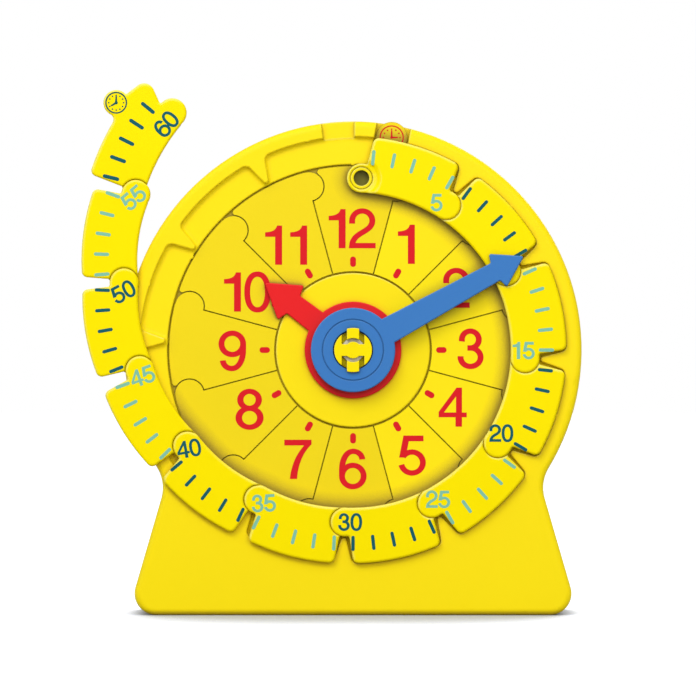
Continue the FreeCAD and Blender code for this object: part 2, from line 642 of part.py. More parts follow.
def channel_floor(sketch):
    """The floor of that channel, from the dial plate to the outer wall."""
    angle = size("tile_tab_angle")
    half = size("tile_tab_radius") + size("tile_margin") + size("wall")
    inner = outward(angle) * (size("plate_radius") - size("tile_margin"))
    outer = outward(angle) * (size("housing_radius") - size("wall") / 2)
    side = clockwise(angle) * half
    outline = Outline(sketch, inner - side)
    outline.line(outer - side)
    outline.line(outer + side)
    outline.line(inner + side)
    return outline.close()


def nub_sketch(body, name, level, angle, wall_radius, proud):
    """A small round nub that stands out of a wall by a given height."""
    reach = size(wall_radius) + size("nub_radius") - size(proud)
    return disc_sketch(body, name, level, "nub_radius", centre=polar(reach, angle))


def pull_notch(sketch):
    """The notch through the rim for the pull tab and the shoulder of the last link."""
    margin = size("notch_margin")
    half = math.degrees((size("pull_tab_radius") + margin) / size("pull_tab_reach"))
    left = size("pull_tab_angle") - LINK_PITCH - half
    right = size("shoulder_angle") - LINK_PITCH + math.degrees(margin / size("shoulder_reach"))
    inner = size("pocket_radius") - margin
    outer = size("housing_radius") + margin
    axis = Vector(0, 0, 0)
    outline = Outline(sketch, polar(inner, left))
    outline.line(polar(outer, left))
    outline.line(polar(outer, right))
    outline.line(polar(inner, right))
    outline.arc(axis, polar(inner, left), "ccw")
    return outline.close()


def make_front_housing():
    """The front shell: rim with link pockets, tile recess, dial plate and screw bosses."""
    body = new_body("front_housing", dial_placement())
    shell = pad(body, housing_outline(new_sketch(body, "outline", "parting")), "front_depth", "shell")
    round_edges(body, shell, "edge_round", lambda edge: lies_at(edge, 0))
    pocket(body, disc_sketch(body, "dial_circle", None, "pocket_radius"), "pocket_depth", "dial")
    tooth_sketch = tooth_outline(new_sketch(body, "tooth_outline", "pocket_floor"),
                                 size("first_hinge_angle") + LINK_PITCH)
    tooth = pad(body, tooth_sketch, "pocket_depth", "tooth")
    document.recompute()
    teeth = polar_pattern(body, tooth_sketch, tooth, HOURS - 1, LINK_PITCH, "teeth")
    floor = size("pocket_floor")
    round_edges(body, teeth, "pocket_round", lambda edge: lies_at(edge, floor), "hollows")
    pocket(body, disc_sketch(body, "recess_ring", "pocket_floor", "recess_outer", "recess_inner"),
           "tile_thickness", "recess")
    pocket(body, tab_channel(new_sketch(body, "tab_channel_outline", "hook_front")),
           "hook_front - recess_floor", "tab_channel")
    pocket(body, pull_notch(new_sketch(body, "pull_notch_outline", "hook_front")),
           "hook_front - pocket_floor", "pull_notch")
    cavity = housing_outline(new_sketch(body, "cavity_outline", "parting"), size("wall"))
    pocket(body, cavity, "recess_floor - parting", "cavity", forward=True)
    pad(body, disc_sketch(body, "plate_circle", "plate_back", "plate_radius"), "plate_thickness", "plate")
    pad(body, channel_floor(new_sketch(body, "channel_floor", "plate_back")), "plate_thickness",
        "channel_floor")
    for number, place in enumerate(screw_places(), start=1):
        pad(body, disc_sketch(body, f"boss_circle_{number}", "parting", "boss_radius", centre=place),
            "recess_floor - parting", f"boss_{number}")
    for number, place in enumerate(screw_places(), start=1):
        pocket(body, disc_sketch(body, f"pilot_circle_{number}", "parting", "screw_radius", centre=place),
               "screw_hold", f"pilot_{number}", forward=True)
    pocket(body, disc_sketch(body, "axis_circle", None, "plate_bore"), "front_depth", "axis_hole")
    pocket(body, disc_sketch(body, "stud_circle", None, "stud_seat", centre=stud_centre()),
           "front_depth", "stud_hole")
    pocket(body, disc_sketch(body, "axle_circle", "plate_back", "axle_radius", centre=idler_centre()),
           "axle_seat", "axle_seat", forward=True)
    add_nubs(body)
    return body


def add_nubs(body):
    """Nubs on every second pocket's wall and tile's wall, which hold links and tiles down."""
    middle = size("first_hinge_angle") - LINK_PITCH / 2
    link_nub = nub_sketch(body, "link_nub", "pocket_floor", middle, "pocket_radius", "link_nub_proud")
    tile_nub = nub_sketch(body, "tile_nub", "recess_floor", 0, "recess_outer", "tile_nub_proud")
    for sketch, length, name in ((link_nub, "pocket_depth", "link_nub"),
                                 (tile_nub, "tile_thickness", "tile_nub")):
        nub = pad(body, sketch, length, f"{name}_pad")
        document.recompute()
        polar_pattern(body, sketch, nub, HOURS // 2, 2 * LINK_PITCH, f"{name}s")


def foot_arc():
    """Toe, top and centre of the hollow back of the foot, seen from the side.

    The first axis is the dial frame's y and the second is z."""
    bottom = -size("dial_height")
    toe = Vector(bottom + size("foot_toe"), size("foot_back"), 0)
    top = Vector(bottom + size("foot_height"), size("cover_back"), 0)
    chord = top - toe
    rise = math.sqrt(size("foot_sweep") ** 2 - chord.Length ** 2 / 4)
    return toe, top, (toe + top) * 0.5 + Vector(chord.y, -chord.x, 0).normalize() * rise


def foot_hollow(sketch):
    """Side view of the room inside the foot, one wall in from its outside."""
    wall = size("wall")
    toe, _, centre = foot_arc()
    bottom = -size("dial_height") + wall
    back = toe.y + wall
    front = size("cover_floor")
    reach = size("foot_sweep") + wall
    outline = Outline(sketch, Vector(bottom, front, 0))
    outline.line(Vector(bottom, back, 0))
    outline.line(Vector(centre.x - math.sqrt(reach ** 2 - (back - centre.y) ** 2), back, 0))
    outline.arc(centre, Vector(centre.x - math.sqrt(reach ** 2 - (front - centre.y) ** 2), front, 0), "cw")
    return outline.close()


def foot_plan(sketch):
    """Front view of the foot: the lower part of the stand."""
    corner = size("base_corner")
    slope = math.radians(size("stand_slope"))
    bottom = -size("dial_height")
    height = size("foot_height") + size("foot_toe")
    corner_centre = Vector(size("base_half_width") - corner, bottom + corner, 0)
    side_foot = corner_centre + Vector(math.cos(slope), math.sin(slope), 0) * corner
    climb = (bottom + height - side_foot.y) / math.cos(slope)
    side_top = side_foot + Vector(-math.sin(slope), math.cos(slope), 0) * climb
    bottom_right = Vector(corner_centre.x, bottom, 0)
    outline = Outline(sketch, mirrored(bottom_right))
    outline.line(bottom_right)
    outline.arc(corner_centre, side_foot, "ccw", "base_corner")
    outline.line(side_top)
    outline.line(mirrored(side_top))
    outline.line(mirrored(side_foot))
    outline.arc(mirrored(corner_centre), mirrored(bottom_right), "ccw", "base_corner")
    return outline.close()


def foot_waste(sketch):
    """Side view of what is cut off the foot's block to leave its hollow back."""
    toe, top, centre = foot_arc()
    clear = size("foot_toe") * 2
    outline = Outline(sketch, toe)
    outline.arc(centre, top, "cw", "foot_sweep")
    outline.line(Vector(top.x + clear, top.y, 0))
    outline.line(Vector(top.x + clear, toe.y - clear, 0))
    outline.line(Vector(toe.x, toe.y - clear, 0))
    return outline.close()


def cut_across(body, sketch, length, name):
    """Cuts to both sides of the upright middle plane."""
    feature = pocket(body, sketch, length, name)
    feature.Midplane = True
    return feature


def make_rear_cover():
    """The rear shell with its integral foot and the bosses for the core, axle and screws."""
    body = new_body("rear_cover", dial_placement())
    shell = pad(body, housing_outline(new_sketch(body, "outline", "cover_back")), "cover_depth", "shell")
    level = size("cover_back")
    round_edges(body, shell, "edge_round", lambda edge: lies_at(edge, level))
    pad(body, foot_plan(new_sketch(body, "foot_plan", "foot_back")), "foot_reach + wall", "foot")
    cut_across(body, foot_waste(new_sketch(body, "foot_waste", role="YZ_Plane")), "foot_width", "foot_back")
    cavity = housing_outline(new_sketch(body, "cavity_outline", "parting"), size("wall"))
    pocket(body, cavity, "parting - cover_floor", "cavity")
    hollow = foot_hollow(new_sketch(body, "foot_hollow", role="YZ_Plane"))
    cut_across(body, hollow, "foot_cavity_half + foot_cavity_half", "foot_hollow")
    for number, place in enumerate(screw_places(), start=1):
        pad(body, disc_sketch(body, f"boss_circle_{number}", "cover_back", "boss_radius", centre=place),
            "parting - cover_back", f"boss_{number}")
    pad(body, disc_sketch(body, "core_boss_circle", "cover_floor", "core_boss"),
        "core_boss_height", "core_boss")
    pad(body, disc_sketch(body, "axle_boss_circle", "cover_floor", "axle_boss", centre=idler_centre()),
        "core_boss_height", "axle_boss")
    pocket(body, disc_sketch(body, "core_bore", "core_boss_front", "core_seat"),
           "core_boss_height", "core_seat")
    pocket(body, disc_sketch(body, "axle_bore", "core_boss_front", "axle_hole", centre=idler_centre()),
           "core_boss_height", "axle_hole")
    for number, place in enumerate(screw_places(), start=1):
        pocket(body, disc_sketch(body, f"screw_circle_{number}", "parting", "screw_bore", centre=place),
               "cover_depth", f"screw_hole_{number}")
    for number, place in enumerate(screw_places(), start=1):
        pocket(body, disc_sketch(body, f"sink_circle_{number}", "cover_back", "screw_sink", centre=place),
               "screw_head_height", f"sink_{number}", forward=True)
    return body


def primitive(kind, name, centre, level, sizes_of):
    """A Part primitive along the dial axis with its sizes from the sheet."""
    solid = document.addObject(f"Part::{kind}", name)
    for prop, alias in sizes_of.items():
        solid.setExpression(prop, length_formula(alias))
    solid.Placement = Placement(Vector(centre.x, centre.y, 0), Rotation())
    solid.setExpression("Placement.Base.z", f"Sizes.{level}")
    return solid


def cylinder(name, level, radius, height, centre=None):
    """A cylinder along the dial axis."""
    centre = centre or Vector(0, 0, 0)
    return primitive("Cylinder", name, centre, level, {"Radius": radius, "Height": height})


def boolean(kind, name, base, tool):
    """A cut or a fusion of two solids."""
    result = document.addObject(f"Part::{kind}", name)
    result.Base = base
    result.Tool = tool
    return result


def make_cover_screws():
    """Six pan-head screws that hold the rear cover."""
    screws = []
    for number, place in enumerate(screw_places(), start=1):
        head = cylinder(f"screw_head_{number}", "cover_back", "screw_head", "screw_head_height", place)
        shank = cylinder(f"screw_shank_{number}", "cover_back", "screw_radius",
                         "screw_head_height + screw_length", place)
        screws.append(boolean("Fuse", f"screw_{number}", head, shank))
    group = document.addObject("Part::Compound", "cover_screws")
    group.Links = screws
    group.Placement = dial_placement()
    return group


def make_post_core():
    """The fixed core: a plain pin seated in the rear cover's boss."""
    core = cylinder("core_pin", "cover_floor", "core_radius", "core_length")
    return placed_copy("post_core", core)


def placed_copy(name, solid):
    """The finished sub-part: the solid, placed in the part frame."""
    group = document.addObject("Part::Compound", name)
    group.Links = [solid]
    group.Placement = dial_placement()
    return group


def make_idler_axle():
    """The idler's axle, seated in the rear cover and in the dial plate."""
    pin = cylinder("axle_pin", "cover_floor", "axle_radius", "axle_length", idler_centre())
    return placed_copy("idler_axle", pin)


def make_stud():
    """The hollow stud that carries the first link's eyelet."""
    body = new_body("number_line_stud", dial_placement())
    place = stud_centre()
    pad(body, disc_sketch(body, "spigot_circle", "plate_back", "stud_spigot", centre=place),
        "plate_thickness", "spigot")
    pad(body, disc_sketch(body, "stud_circle", "recess_floor", "peg_radius", centre=place),
        "tail_top - recess_floor", "stud")
    pocket(body, disc_sketch(body, "bore_circle", "tail_top", "peg_bore", centre=place),
           "tail_top - pocket_floor", "bore")
    level = size("tail_top")
    bevel_edges(body, body.Tip, "stud_bevel", lambda edge: is_rim(edge, level, "peg_radius"))
    return body


# ---------------------------------------------------------------- hour tiles

def tile_hinge(side):
    """Hinge centre of a tile; side is -1 for its tail, 1 for its lobe."""
    return polar(size("tile_hinge_radius"), side * LINK_PITCH / 2)


def tile_sector(sketch):
    """A sector of the ring, half a gap short of its neighbours."""
    half = LINK_PITCH / 2
    shift = clockwise(-half) * (size("tile_gap") / 2)
    corners = []
    for radius in (size("tile_inner"), size("tile_outer")):
        along = math.sqrt(radius ** 2 - (size("tile_gap") / 2) ** 2)
        corners.append(outward(-half) * along + shift)
    inner_left, outer_left = corners
    axis = Vector(0, 0, 0)
    outline = Outline(sketch, inner_left)
    outline.line(outer_left)
    outline.arc(axis, mirrored(outer_left), "cw", "tile_outer")
    outline.line(mirrored(inner_left))
    outline.arc(axis, inner_left, "ccw", "tile_inner")
    return outline.close()


def tile_lobe_room(sketch):
    """Room for the neighbour's lobe, with the tile's own rounded outer corner beside it."""
    hinge = tile_hinge(-1)
    room = size("tile_cut")
    corner = size("tile_corner")
    outer = size("tile_outer")
    # centre of the corner: room + corner from the hinge, outer - corner from the axis
    apart = hinge.Length
    along = ((outer - corner) ** 2 - (room + corner) ** 2 + apart ** 2) / (2 * apart)
    across = math.sqrt((outer - corner) ** 2 - along ** 2)
    angle = -LINK_PITCH / 2
    centre = outward(angle) * along + clockwise(angle) * across
    on_room = towards(hinge, centre, room)
    on_outer = towards(Vector(0, 0, 0), centre, outer)
    beyond = towards(Vector(0, 0, 0), centre, outer + corner)
    behind = hinge - clockwise(angle) * room
    outline = Outline(sketch, on_room)
    outline.arc(centre, on_outer, "cw", "tile_corner")
    outline.line(beyond)
    outline.line(behind + outward(angle) * (outer + corner - apart))
    outline.line(behind)
    outline.arc(hinge, on_room, "ccw", "tile_cut")
    return outline.close()


def add_tile_tab(body):
    """The pull tab of the first tile, and its hole round the number line's stud."""
    angle = size("tile_tab_angle")
    half = size("tile_neck") / 2
    inner = outward(angle) * (size("tile_outer") - size("tile_neck_root"))
    outer = outward(angle) * size("tile_tab_reach")
    side = clockwise(angle) * half
    sketch = new_sketch(body, "neck_outline", "recess_floor")
    outline = Outline(sketch, inner - side)
    outline.line(outer - side)
    outline.line(outer + side)
    outline.line(inner + side)
    pad(body, outline.close(), "tile_thickness", "neck")
    pad(body, disc_sketch(body, "tab_circle", "recess_floor", "tile_tab_radius", centre=outer),
        "tile_thickness", "tab")
    pocket(body, disc_sketch(body, "stud_window_circle", None, "stud_window", centre=stud_centre()),
           "front_depth", "stud_window")


def make_hour_tile(hour):
    """An hour tile, drawn at twelve o'clock and turned to its hour."""
    body = new_body(f"hour_tile_{hour:02d}", dial_placement(LINK_PITCH * hour))
    tail = tile_hinge(-1)
    lobe = tile_hinge(1)
    pad(body, tile_sector(new_sketch(body, "sector", "recess_floor")), "tile_thickness", "sector")
    pocket(body, tile_lobe_room(new_sketch(body, "lobe_room", "pocket_floor")),
           "pocket_floor - tile_tail_top", "lobe_room")
    pocket(body, disc_sketch(body, "tail_room", "recess_floor", "tile_cut", centre=lobe),
           "tile_lobe_underside - recess_floor", "tail_room", forward=True)
    pad(body, disc_sketch(body, "lobe_circle", "tile_lobe_underside", "tile_lobe", centre=lobe),
        "tile_lobe_thickness", "lobe")
    pad(body, disc_sketch(body, "tail_circle", "recess_floor", "tile_lobe", centre=tail),
        "tile_tail_thickness", "tail")
    pocket(body, disc_sketch(body, "peg_hole", "tile_tail_top", "tile_peg_hole", centre=tail),
           "tile_thickness", "peg_hole")
    pad(body, disc_sketch(body, "peg_circle", "recess_floor", "tile_peg", centre=lobe),
        "tile_peg_height", "peg")
    if hour == HOURS:
        add_tile_tab(body)
    return body


# ---------------------------------------------------------------- minute number line

def link_hinges():
    """Tail and lobe hinge of a link, drawn in the place of the first link."""
    first = size("first_hinge_angle")
    return polar(size("hinge_radius"), first), polar(size("hinge_radius"), first + LINK_PITCH)


def end_edge(hinge, angle, sign, centre, outer):
    """One end edge of a link with its fillet at the lobe and its outer corner.

    sign is 1 at the tail, where the link lies clockwise of the edge, and -1 at the lobe.
    The link's outer edge has its own centre and radius."""
    slope = math.radians(size("link_edge_slope"))
    across = clockwise(angle) * sign
    along = outward(angle) * math.cos(slope) + across * math.sin(slope)
    away = outward(angle) * math.sin(slope) - across * math.cos(slope)
    on_edge = hinge + across * size("link_edge_offset")
    fillet = size("link_notch_fillet")
    corner = size("link_corner")
    notch = blend_centre(on_edge, along, away, fillet, hinge, size("link_lobe") + fillet)
    round_centre = blend_centre(on_edge, along, away * -1, corner, centre, outer - corner)
    return {
        "on_lobe": towards(hinge, notch, size("link_lobe")),
        "notch": notch,
        "edge_inner": foot_on_line(on_edge, along, notch),
        "edge_outer": foot_on_line(on_edge, along, round_centre),
        "corner": round_centre,
        "on_outer": towards(centre, round_centre, outer),
    }


def start_of_link(outline, tail, centre, outer):
    """The tail end of a link, from its inner side to its outer side."""
    start = end_edge(tail, size("first_hinge_angle"), 1, centre, outer)
    outline.arc(tail, start["on_lobe"], "cw", "link_lobe")
    outline.arc(start["notch"], start["edge_inner"], "ccw", "link_notch_fillet")
    outline.line(start["edge_outer"])
    outline.arc(start["corner"], start["on_outer"], "cw", "link_corner")


def link_outline(sketch):
    """A link seen from the front, with its tail at the left and its lobe at the right."""
    tail, lobe = link_hinges()
    first = size("first_hinge_angle")
    axis = Vector(0, 0, 0)
    finish = end_edge(lobe, first + LINK_PITCH, -1, axis, size("link_outer"))
    inner = size("link_inner")
    outline = Outline(sketch, polar(inner, first))
    start_of_link(outline, tail, axis, size("link_outer"))
    outline.arc(axis, finish["on_outer"], "cw", "link_outer")
    outline.arc(finish["corner"], finish["edge_outer"], "cw", "link_corner")
    outline.line(finish["edge_inner"])
    outline.arc(finish["notch"], finish["on_lobe"], "ccw", "link_notch_fillet")
    outline.arc(lobe, polar(inner, first + LINK_PITCH), "cw", "link_lobe")
    outline.arc(axis, polar(inner, first), "ccw", "link_inner")
    return outline.close()


def arc_through(start, middle, end):
    """Centre and turn of the arc through three points."""
    centre = Part.Arc(start, middle, end).toShape().Curve.Center
    turn = (middle - start).cross(end - middle).z
    return centre, "ccw" if turn > 0 else "cw"


def crossing(first, first_radius, second, second_radius):
    """Where two circles cross, on the left of the way from the first centre to the second."""
    gap = second - first
    apart = gap.Length
    along = (first_radius ** 2 - second_radius ** 2 + apart ** 2) / (2 * apart)
    across = math.sqrt(first_radius ** 2 - along ** 2)
    ahead = gap * (1 / apart)
    return first + ahead * along + Vector(-ahead.y, ahead.x, 0) * across


def last_link_outline(sketch):
    """The last link: pull tab on its outer side and a rounded peak beside its lobe."""
    tail, lobe = link_hinges()
    centre = polar(size("last_centre_reach"), size("last_centre_angle"))
    inner = (lobe - centre).Length - size("link_lobe")
    tab = polar(size("pull_tab_reach"), size("pull_tab_angle"))
    shoulder = polar(size("shoulder_reach"), size("shoulder_angle"))
    peak = polar(size("peak_reach"), size("peak_angle"))
    valley = polar(size("valley_reach"), size("valley_angle"))
    up = (peak - shoulder).normalize()
    down = (valley - peak).normalize()
    above = Vector(-up.y, up.x, 0)
    beside = Vector(-down.y, down.x, 0)
    small = size("valley_round")
    corner = size("link_corner")
    hollow = crossing(centre, size("last_outer") + corner, tab, size("pull_tab_radius") + corner)
    near_tab = blend_centre(shoulder, up, above, small, tab, size("pull_tab_radius") + small)
    near_lobe = blend_centre(valley, down * -1, beside, small, lobe, size("link_lobe") + small)
    half_turn = up.getAngle(down) / 2
    run = size("peak_round") * math.tan(half_turn)
    crest = peak - up * run - above * size("peak_round")
    beside_tail = crossing(tail, size("link_lobe"), centre, inner)
    outline = Outline(sketch, beside_tail)
    start_of_link(outline, tail, centre, size("last_outer"))
    outline.arc(centre, towards(centre, hollow, size("last_outer")), "cw", "last_outer")
    outline.arc(hollow, towards(tab, hollow, size("pull_tab_radius")), "ccw", "link_corner")
    outline.arc(tab, towards(tab, near_tab, size("pull_tab_radius")), "cw", "pull_tab_radius")
    outline.arc(near_tab, foot_on_line(shoulder, up, near_tab), "ccw", "valley_round")
    outline.line(peak - up * run)
    outline.arc(crest, peak + down * run, "cw", "peak_round")
    outline.line(foot_on_line(valley, down, near_lobe))
    outline.arc(near_lobe, towards(lobe, near_lobe, size("link_lobe")), "ccw", "valley_round")
    outline.arc(lobe, towards(centre, lobe, inner), "cw", "link_lobe")
    outline.arc(centre, beside_tail, "ccw")
    return outline.close()


def link_placements():
    """Rest placement of every link: each one turns about its tail, the lobe of the one before."""
    tail, _ = link_hinges()
    step = Placement(Vector(0, 0, 0), Rotation(Vector(0, 0, 1), -LINK_PITCH))
    placements = []
    current = dial_placement()
    for number in range(HOURS):
        if number:
            current = current.multiply(step)
        opening = size(f"opening_{MINUTES_PER_LINK * (number + 1):02d}")
        current = current.multiply(Placement(Vector(0, 0, 0), Rotation(Vector(0, 0, 1), opening), tail))
        placements.append(current)
    return placements


def add_lead_in(body, tail):
    """The slope that guides the last link's lobe on to the first link's eyelet."""
    cone = body.newObject("PartDesign::SubtractiveCone", f"{body.Name}_lead_in")
    cone.setExpression("Radius1", "Sizes.side_cut")
    cone.setExpression("Radius2", "Sizes.side_cut + Sizes.eyelet_ramp")
    cone.setExpression("Height", "Sizes.link_top - Sizes.tail_top")
    cone.Placement = Placement(Vector(tail.x, tail.y, size("tail_top")), Rotation())
    cone.setExpression("Placement.Base.z", "Sizes.tail_top")
    level = size("tail_top")
    bevel_edges(body, cone, "stud_bevel", lambda edge: is_rim(edge, level, "eyelet_bore"), "eyelet_bevel")


def make_minute_link(number, placement):
    """A link of the number line: tail with its bore, lobe with its hollow snap peg."""
    minute = MINUTES_PER_LINK * (number + 1)
    first, last = number == 0, number == HOURS - 1
    body = new_body(f"minute_link_{minute:02d}", placement)
    tail, lobe = link_hinges()
    draw = last_link_outline if last else link_outline
    plate = pad(body, draw(new_sketch(body, "outline", "link_lift")), "link_thickness", "plate")
    level = size("link_top")
    bevel_edges(body, plate, "link_bevel", lambda edge: lies_at(edge, level))
    pocket(body, disc_sketch(body, "lobe_room", "link_top", "side_cut", centre=tail),
           "link_top - tail_top", "lobe_room")
    pocket(body, disc_sketch(body, "tail_room", "link_lift", "side_cut", centre=lobe),
           "peg_height", "tail_room", forward=True)
    pocket(body, disc_sketch(body, "eyelet", "tail_top", "eyelet_bore", centre=tail),
           "tail_thickness", "eyelet")
    pocket(body, disc_sketch(body, "lip_seat_circle", "link_lift", "lip_seat", centre=tail),
           "lip_seat_depth", "lip_seat", forward=True)
    if first:
        add_lead_in(body, tail)
    if not last:
        pad(body, disc_sketch(body, "peg_ring", "link_lift", "peg_radius", "peg_bore", lobe),
            "peg_height", "peg")
        pad(body, disc_sketch(body, "lip_ring", "link_lift", "lip_radius", "peg_bore", lobe),
            "snap_lip_height", "lip")
    return body


# ---------------------------------------------------------------- hands

def hand_arrow(sketch, hand):
    """A hand pointing at twelve: tapered shaft and swept arrow head."""
    root = size(f"{hand}_shaft_root") / 2
    end = size(f"{hand}_shaft_end") / 2
    head = size(f"{hand}_head_width") / 2
    notch_at = size(f"{hand}_notch_at")
    head_at = size(f"{hand}_head_at")
    outline = Outline(sketch, Vector(-root, 0, 0))
    outline.line(Vector(-end, notch_at, 0))
    outline.line(Vector(-head, head_at, 0))
    outline.line(Vector(0, size(f"{hand}_tip"), 0))
    outline.line(Vector(head, head_at, 0))
    outline.line(Vector(end, notch_at, 0))
    outline.line(Vector(root, 0, 0))
    return outline.close()


def outside_hub(edge, hand):
    """True for the upright edges of the arrow head."""
    middle = edge.BoundBox.Center
    return is_upright(edge) and middle.y > size(f"{hand}_notch_at") - size("hand_corner")


def make_hour_hand():
    """The hour hand, pressed on the hour wheel's tube."""
    body = new_body("hour_hand", dial_placement(size("hour_turn")))
    pad(body, disc_sketch(body, "hub_circle", "hour_hand_back", "hour_hub"), "hour_thickness", "hub")
    arrow = pad(body, hand_arrow(new_sketch(body, "arrow", "hour_hand_back"), "hour"),
                "hour_thickness", "arrow")
    corners = round_edges(body, arrow, "hand_corner", lambda edge: outside_hub(edge, "hour"), "corners")
    level = size("hour_hand_front")
    bevel_edges(body, corners, "hand_bevel", lambda edge: lies_at(edge, level))
    pocket(body, disc_sketch(body, "bore_circle", "hour_hand_front", "wheel_tube"),
           "hour_thickness", "bore")
    return body


def make_minute_hand():
    """The minute hand: a tall hub with a well for the snap post, and a blade in front."""
    body = new_body("minute_hand", dial_placement(size("minute_turn")))
    pad(body, disc_sketch(body, "hub_circle", "minute_hub_back", "minute_hub"),
        "minute_hub_height", "hub")
    arrow = pad(body, hand_arrow(new_sketch(body, "arrow", "blade_back"), "minute"),
                "blade_thickness", "arrow")
    corners = round_edges(body, arrow, "hand_corner", lambda edge: outside_hub(edge, "minute"), "corners")
    level = size("minute_front")
    bevel_edges(body, corners, "hand_bevel", lambda edge: lies_at(edge, level))
    pocket(body, disc_sketch(body, "well_circle", "minute_front", "hub_bore"), "well_depth", "well")
    pocket(body, disc_sketch(body, "bore_circle", "well_floor", "arbor_radius"), "hub_floor", "bore")
    pocket(body, disc_sketch(body, "engraved_ring", "minute_front", "hub_ring", "hub_ring_inner"),
           "hub_ring_depth", "ring")
    return body


def post_windows(sketch, side):
    """A window above or below the bar, open to the rim of the post; side is 1 or -1."""
    half = size("window_width") / 2
    bar = size("bar_height") / 2
    bulge = size("bar_bulge")
    reach = size("post_radius") + size("hand_gap")
    step = math.sqrt(bulge ** 2 - bar ** 2)
    outline = Outline(sketch, Vector(-half, side * bar, 0))
    outline.line(Vector(-step, side * bar, 0))
    outline.arc(Vector(0, 0, 0), Vector(step, side * bar, 0), "cw" if side > 0 else "ccw", "bar_bulge")
    outline.line(Vector(half, side * bar, 0))
    outline.line(Vector(half, side * reach, 0))
    outline.line(Vector(-half, side * reach, 0))
    return outline.close()


def hook_arm(sketch, side, outer):
    """Front view of a hook's arm or lip, from the bore outwards."""
    half = size("hook_width") / 2
    inner = size("post_bore")
    reach = size(outer)
    low = math.sqrt(inner ** 2 - half ** 2)
    high = math.sqrt(reach ** 2 - half ** 2)
    up, down = ("ccw", "cw") if side > 0 else ("cw", "ccw")
    axis = Vector(0, 0, 0)
    outline = Outline(sketch, Vector(half, side * low, 0))
    outline.line(Vector(half, side * high, 0))
    outline.arc(axis, Vector(-half, side * high, 0), up, outer)
    outline.line(Vector(-half, side * low, 0))
    outline.arc(axis, Vector(half, side * low, 0), down, "post_bore")
    return outline.close()


def make_center_post():
    """The snap post: a cap on the core with a bar, two windows and two hooks over the hub."""
    body = new_body("center_post", dial_placement())
    pad(body, disc_sketch(body, "post_circle", "post_back", "post_radius"), "post_height", "post")
    pocket(body, disc_sketch(body, "bore_circle", "post_back", "post_bore"),
           "post_inner_height", "bore", forward=True)
    for side, word in ((1, "upper"), (-1, "lower")):
        pocket(body, post_windows(new_sketch(body, f"{word}_window", "post_front"), side),
               "post_height - hook_root", f"{word}_window_cut")
    for side, word in ((1, "upper"), (-1, "lower")):
        pad(body, hook_arm(new_sketch(body, f"{word}_arm", "post_back"), side, "post_radius"),
            "hook_root + hook_height", f"{word}_arm_pad")
        pad(body, hook_arm(new_sketch(body, f"{word}_hook", "hook_back"), side, "hook_reach"),
            "hook_thickness", f"{word}_hook_pad")
    return body


# ---------------------------------------------------------------- gears

def involute(angle):
    """Involute function of a pressure angle in radians."""
    return math.tan(angle) - angle


def tooth_half_angle(teeth, radius):
    """Half of the angle that a tooth spans at a radius."""
    pitch = size("module_size") * teeth / 2
    pressure = math.radians(size("pressure_angle"))
    base = pitch * math.cos(pressure)
    at_pitch = math.pi / (2 * teeth) - size("backlash") / (4 * pitch)
    local = math.acos(min(1.0, base / radius))
    return at_pitch + involute(pressure) - involute(local)


def gear_tooth(sketch, teeth, centre, turn):
    """One involute tooth, its flanks as arcs; turn is its clock angle in degrees."""
    module = size("module_size")
    pitch = module * teeth / 2
    base = pitch * math.cos(math.radians(size("pressure_angle")))
    root = pitch - size("dedendum") * module
    tip = pitch + size("addendum") * module
    start = max(base, root)
    flank = [start, (start + tip) / 2, tip]

    def point(radius, sign, lean=None):
        lean = tooth_half_angle(teeth, radius) if lean is None else lean
        return centre + polar(radius, turn + sign * math.degrees(lean))

    foot = tooth_half_angle(teeth, start)
    sunk = root - module / 4
    outline = Outline(sketch, point(sunk, -1, foot))
    outline.line(point(start, -1))
    left = [point(radius, -1) for radius in flank]
    outline.arc(*flank_arc(left))
    outline.arc(centre, point(tip, 1), "cw")
    right = [point(radius, 1) for radius in reversed(flank)]
    outline.arc(*flank_arc(right))
    outline.line(point(sunk, 1, foot))
    return outline.close()


def flank_arc(points):
    """Centre, end and turn of the arc through three points of a flank."""
    centre, turn = arc_through(*points)
    return centre, points[2], turn


def cut_gear_teeth(body, name, level, teeth_alias, root_alias, turn=0.0):
    """Root disc and teeth of a gear, face wide, from a level towards the viewer."""
    teeth = round(size(teeth_alias))
    pad(body, disc_sketch(body, f"{name}_root", level, root_alias), "gear_face", f"{name}_disc")
    sketch = gear_tooth(new_sketch(body, f"{name}_tooth", level), teeth, Vector(0, 0, 0), turn)
    tooth = pad(body, sketch, "gear_face", f"{name}_tooth_pad")
    document.recompute()
    polar_pattern(body, sketch, tooth, teeth, FULL_TURN / teeth, f"{name}_teeth")


def thin_web(body, name, level):
    """Turns the web of a large gear down between rim and hub, from its back."""
    pocket(body, disc_sketch(body, f"{name}_web_ring", level, f"{name}_web_outer", f"{name}_web_inner"),
           "gear_face - wheel_web", f"{name}_web", forward=True)


def make_minute_pinion():
    """The minute arbor: pinion, thrust flange and the tube that carries the minute hand."""
    body = new_body("minute_pinion", dial_placement(HALF_TURN))
    pad(body, disc_sketch(body, "tube_circle", "arbor_back", "arbor_radius"),
        "well_floor - arbor_back", "tube")
    pad(body, disc_sketch(body, "flange_circle", "arbor_back", "minute_pinion_tip"),
        "arbor_flange", "flange")
    cut_gear_teeth(body, "pinion", "pair_back", "minute_pinion_teeth", "minute_pinion_root")
    pocket(body, disc_sketch(body, "bore_circle", "well_floor", "arbor_bore"),
           "well_floor - arbor_back", "bore")
    return body


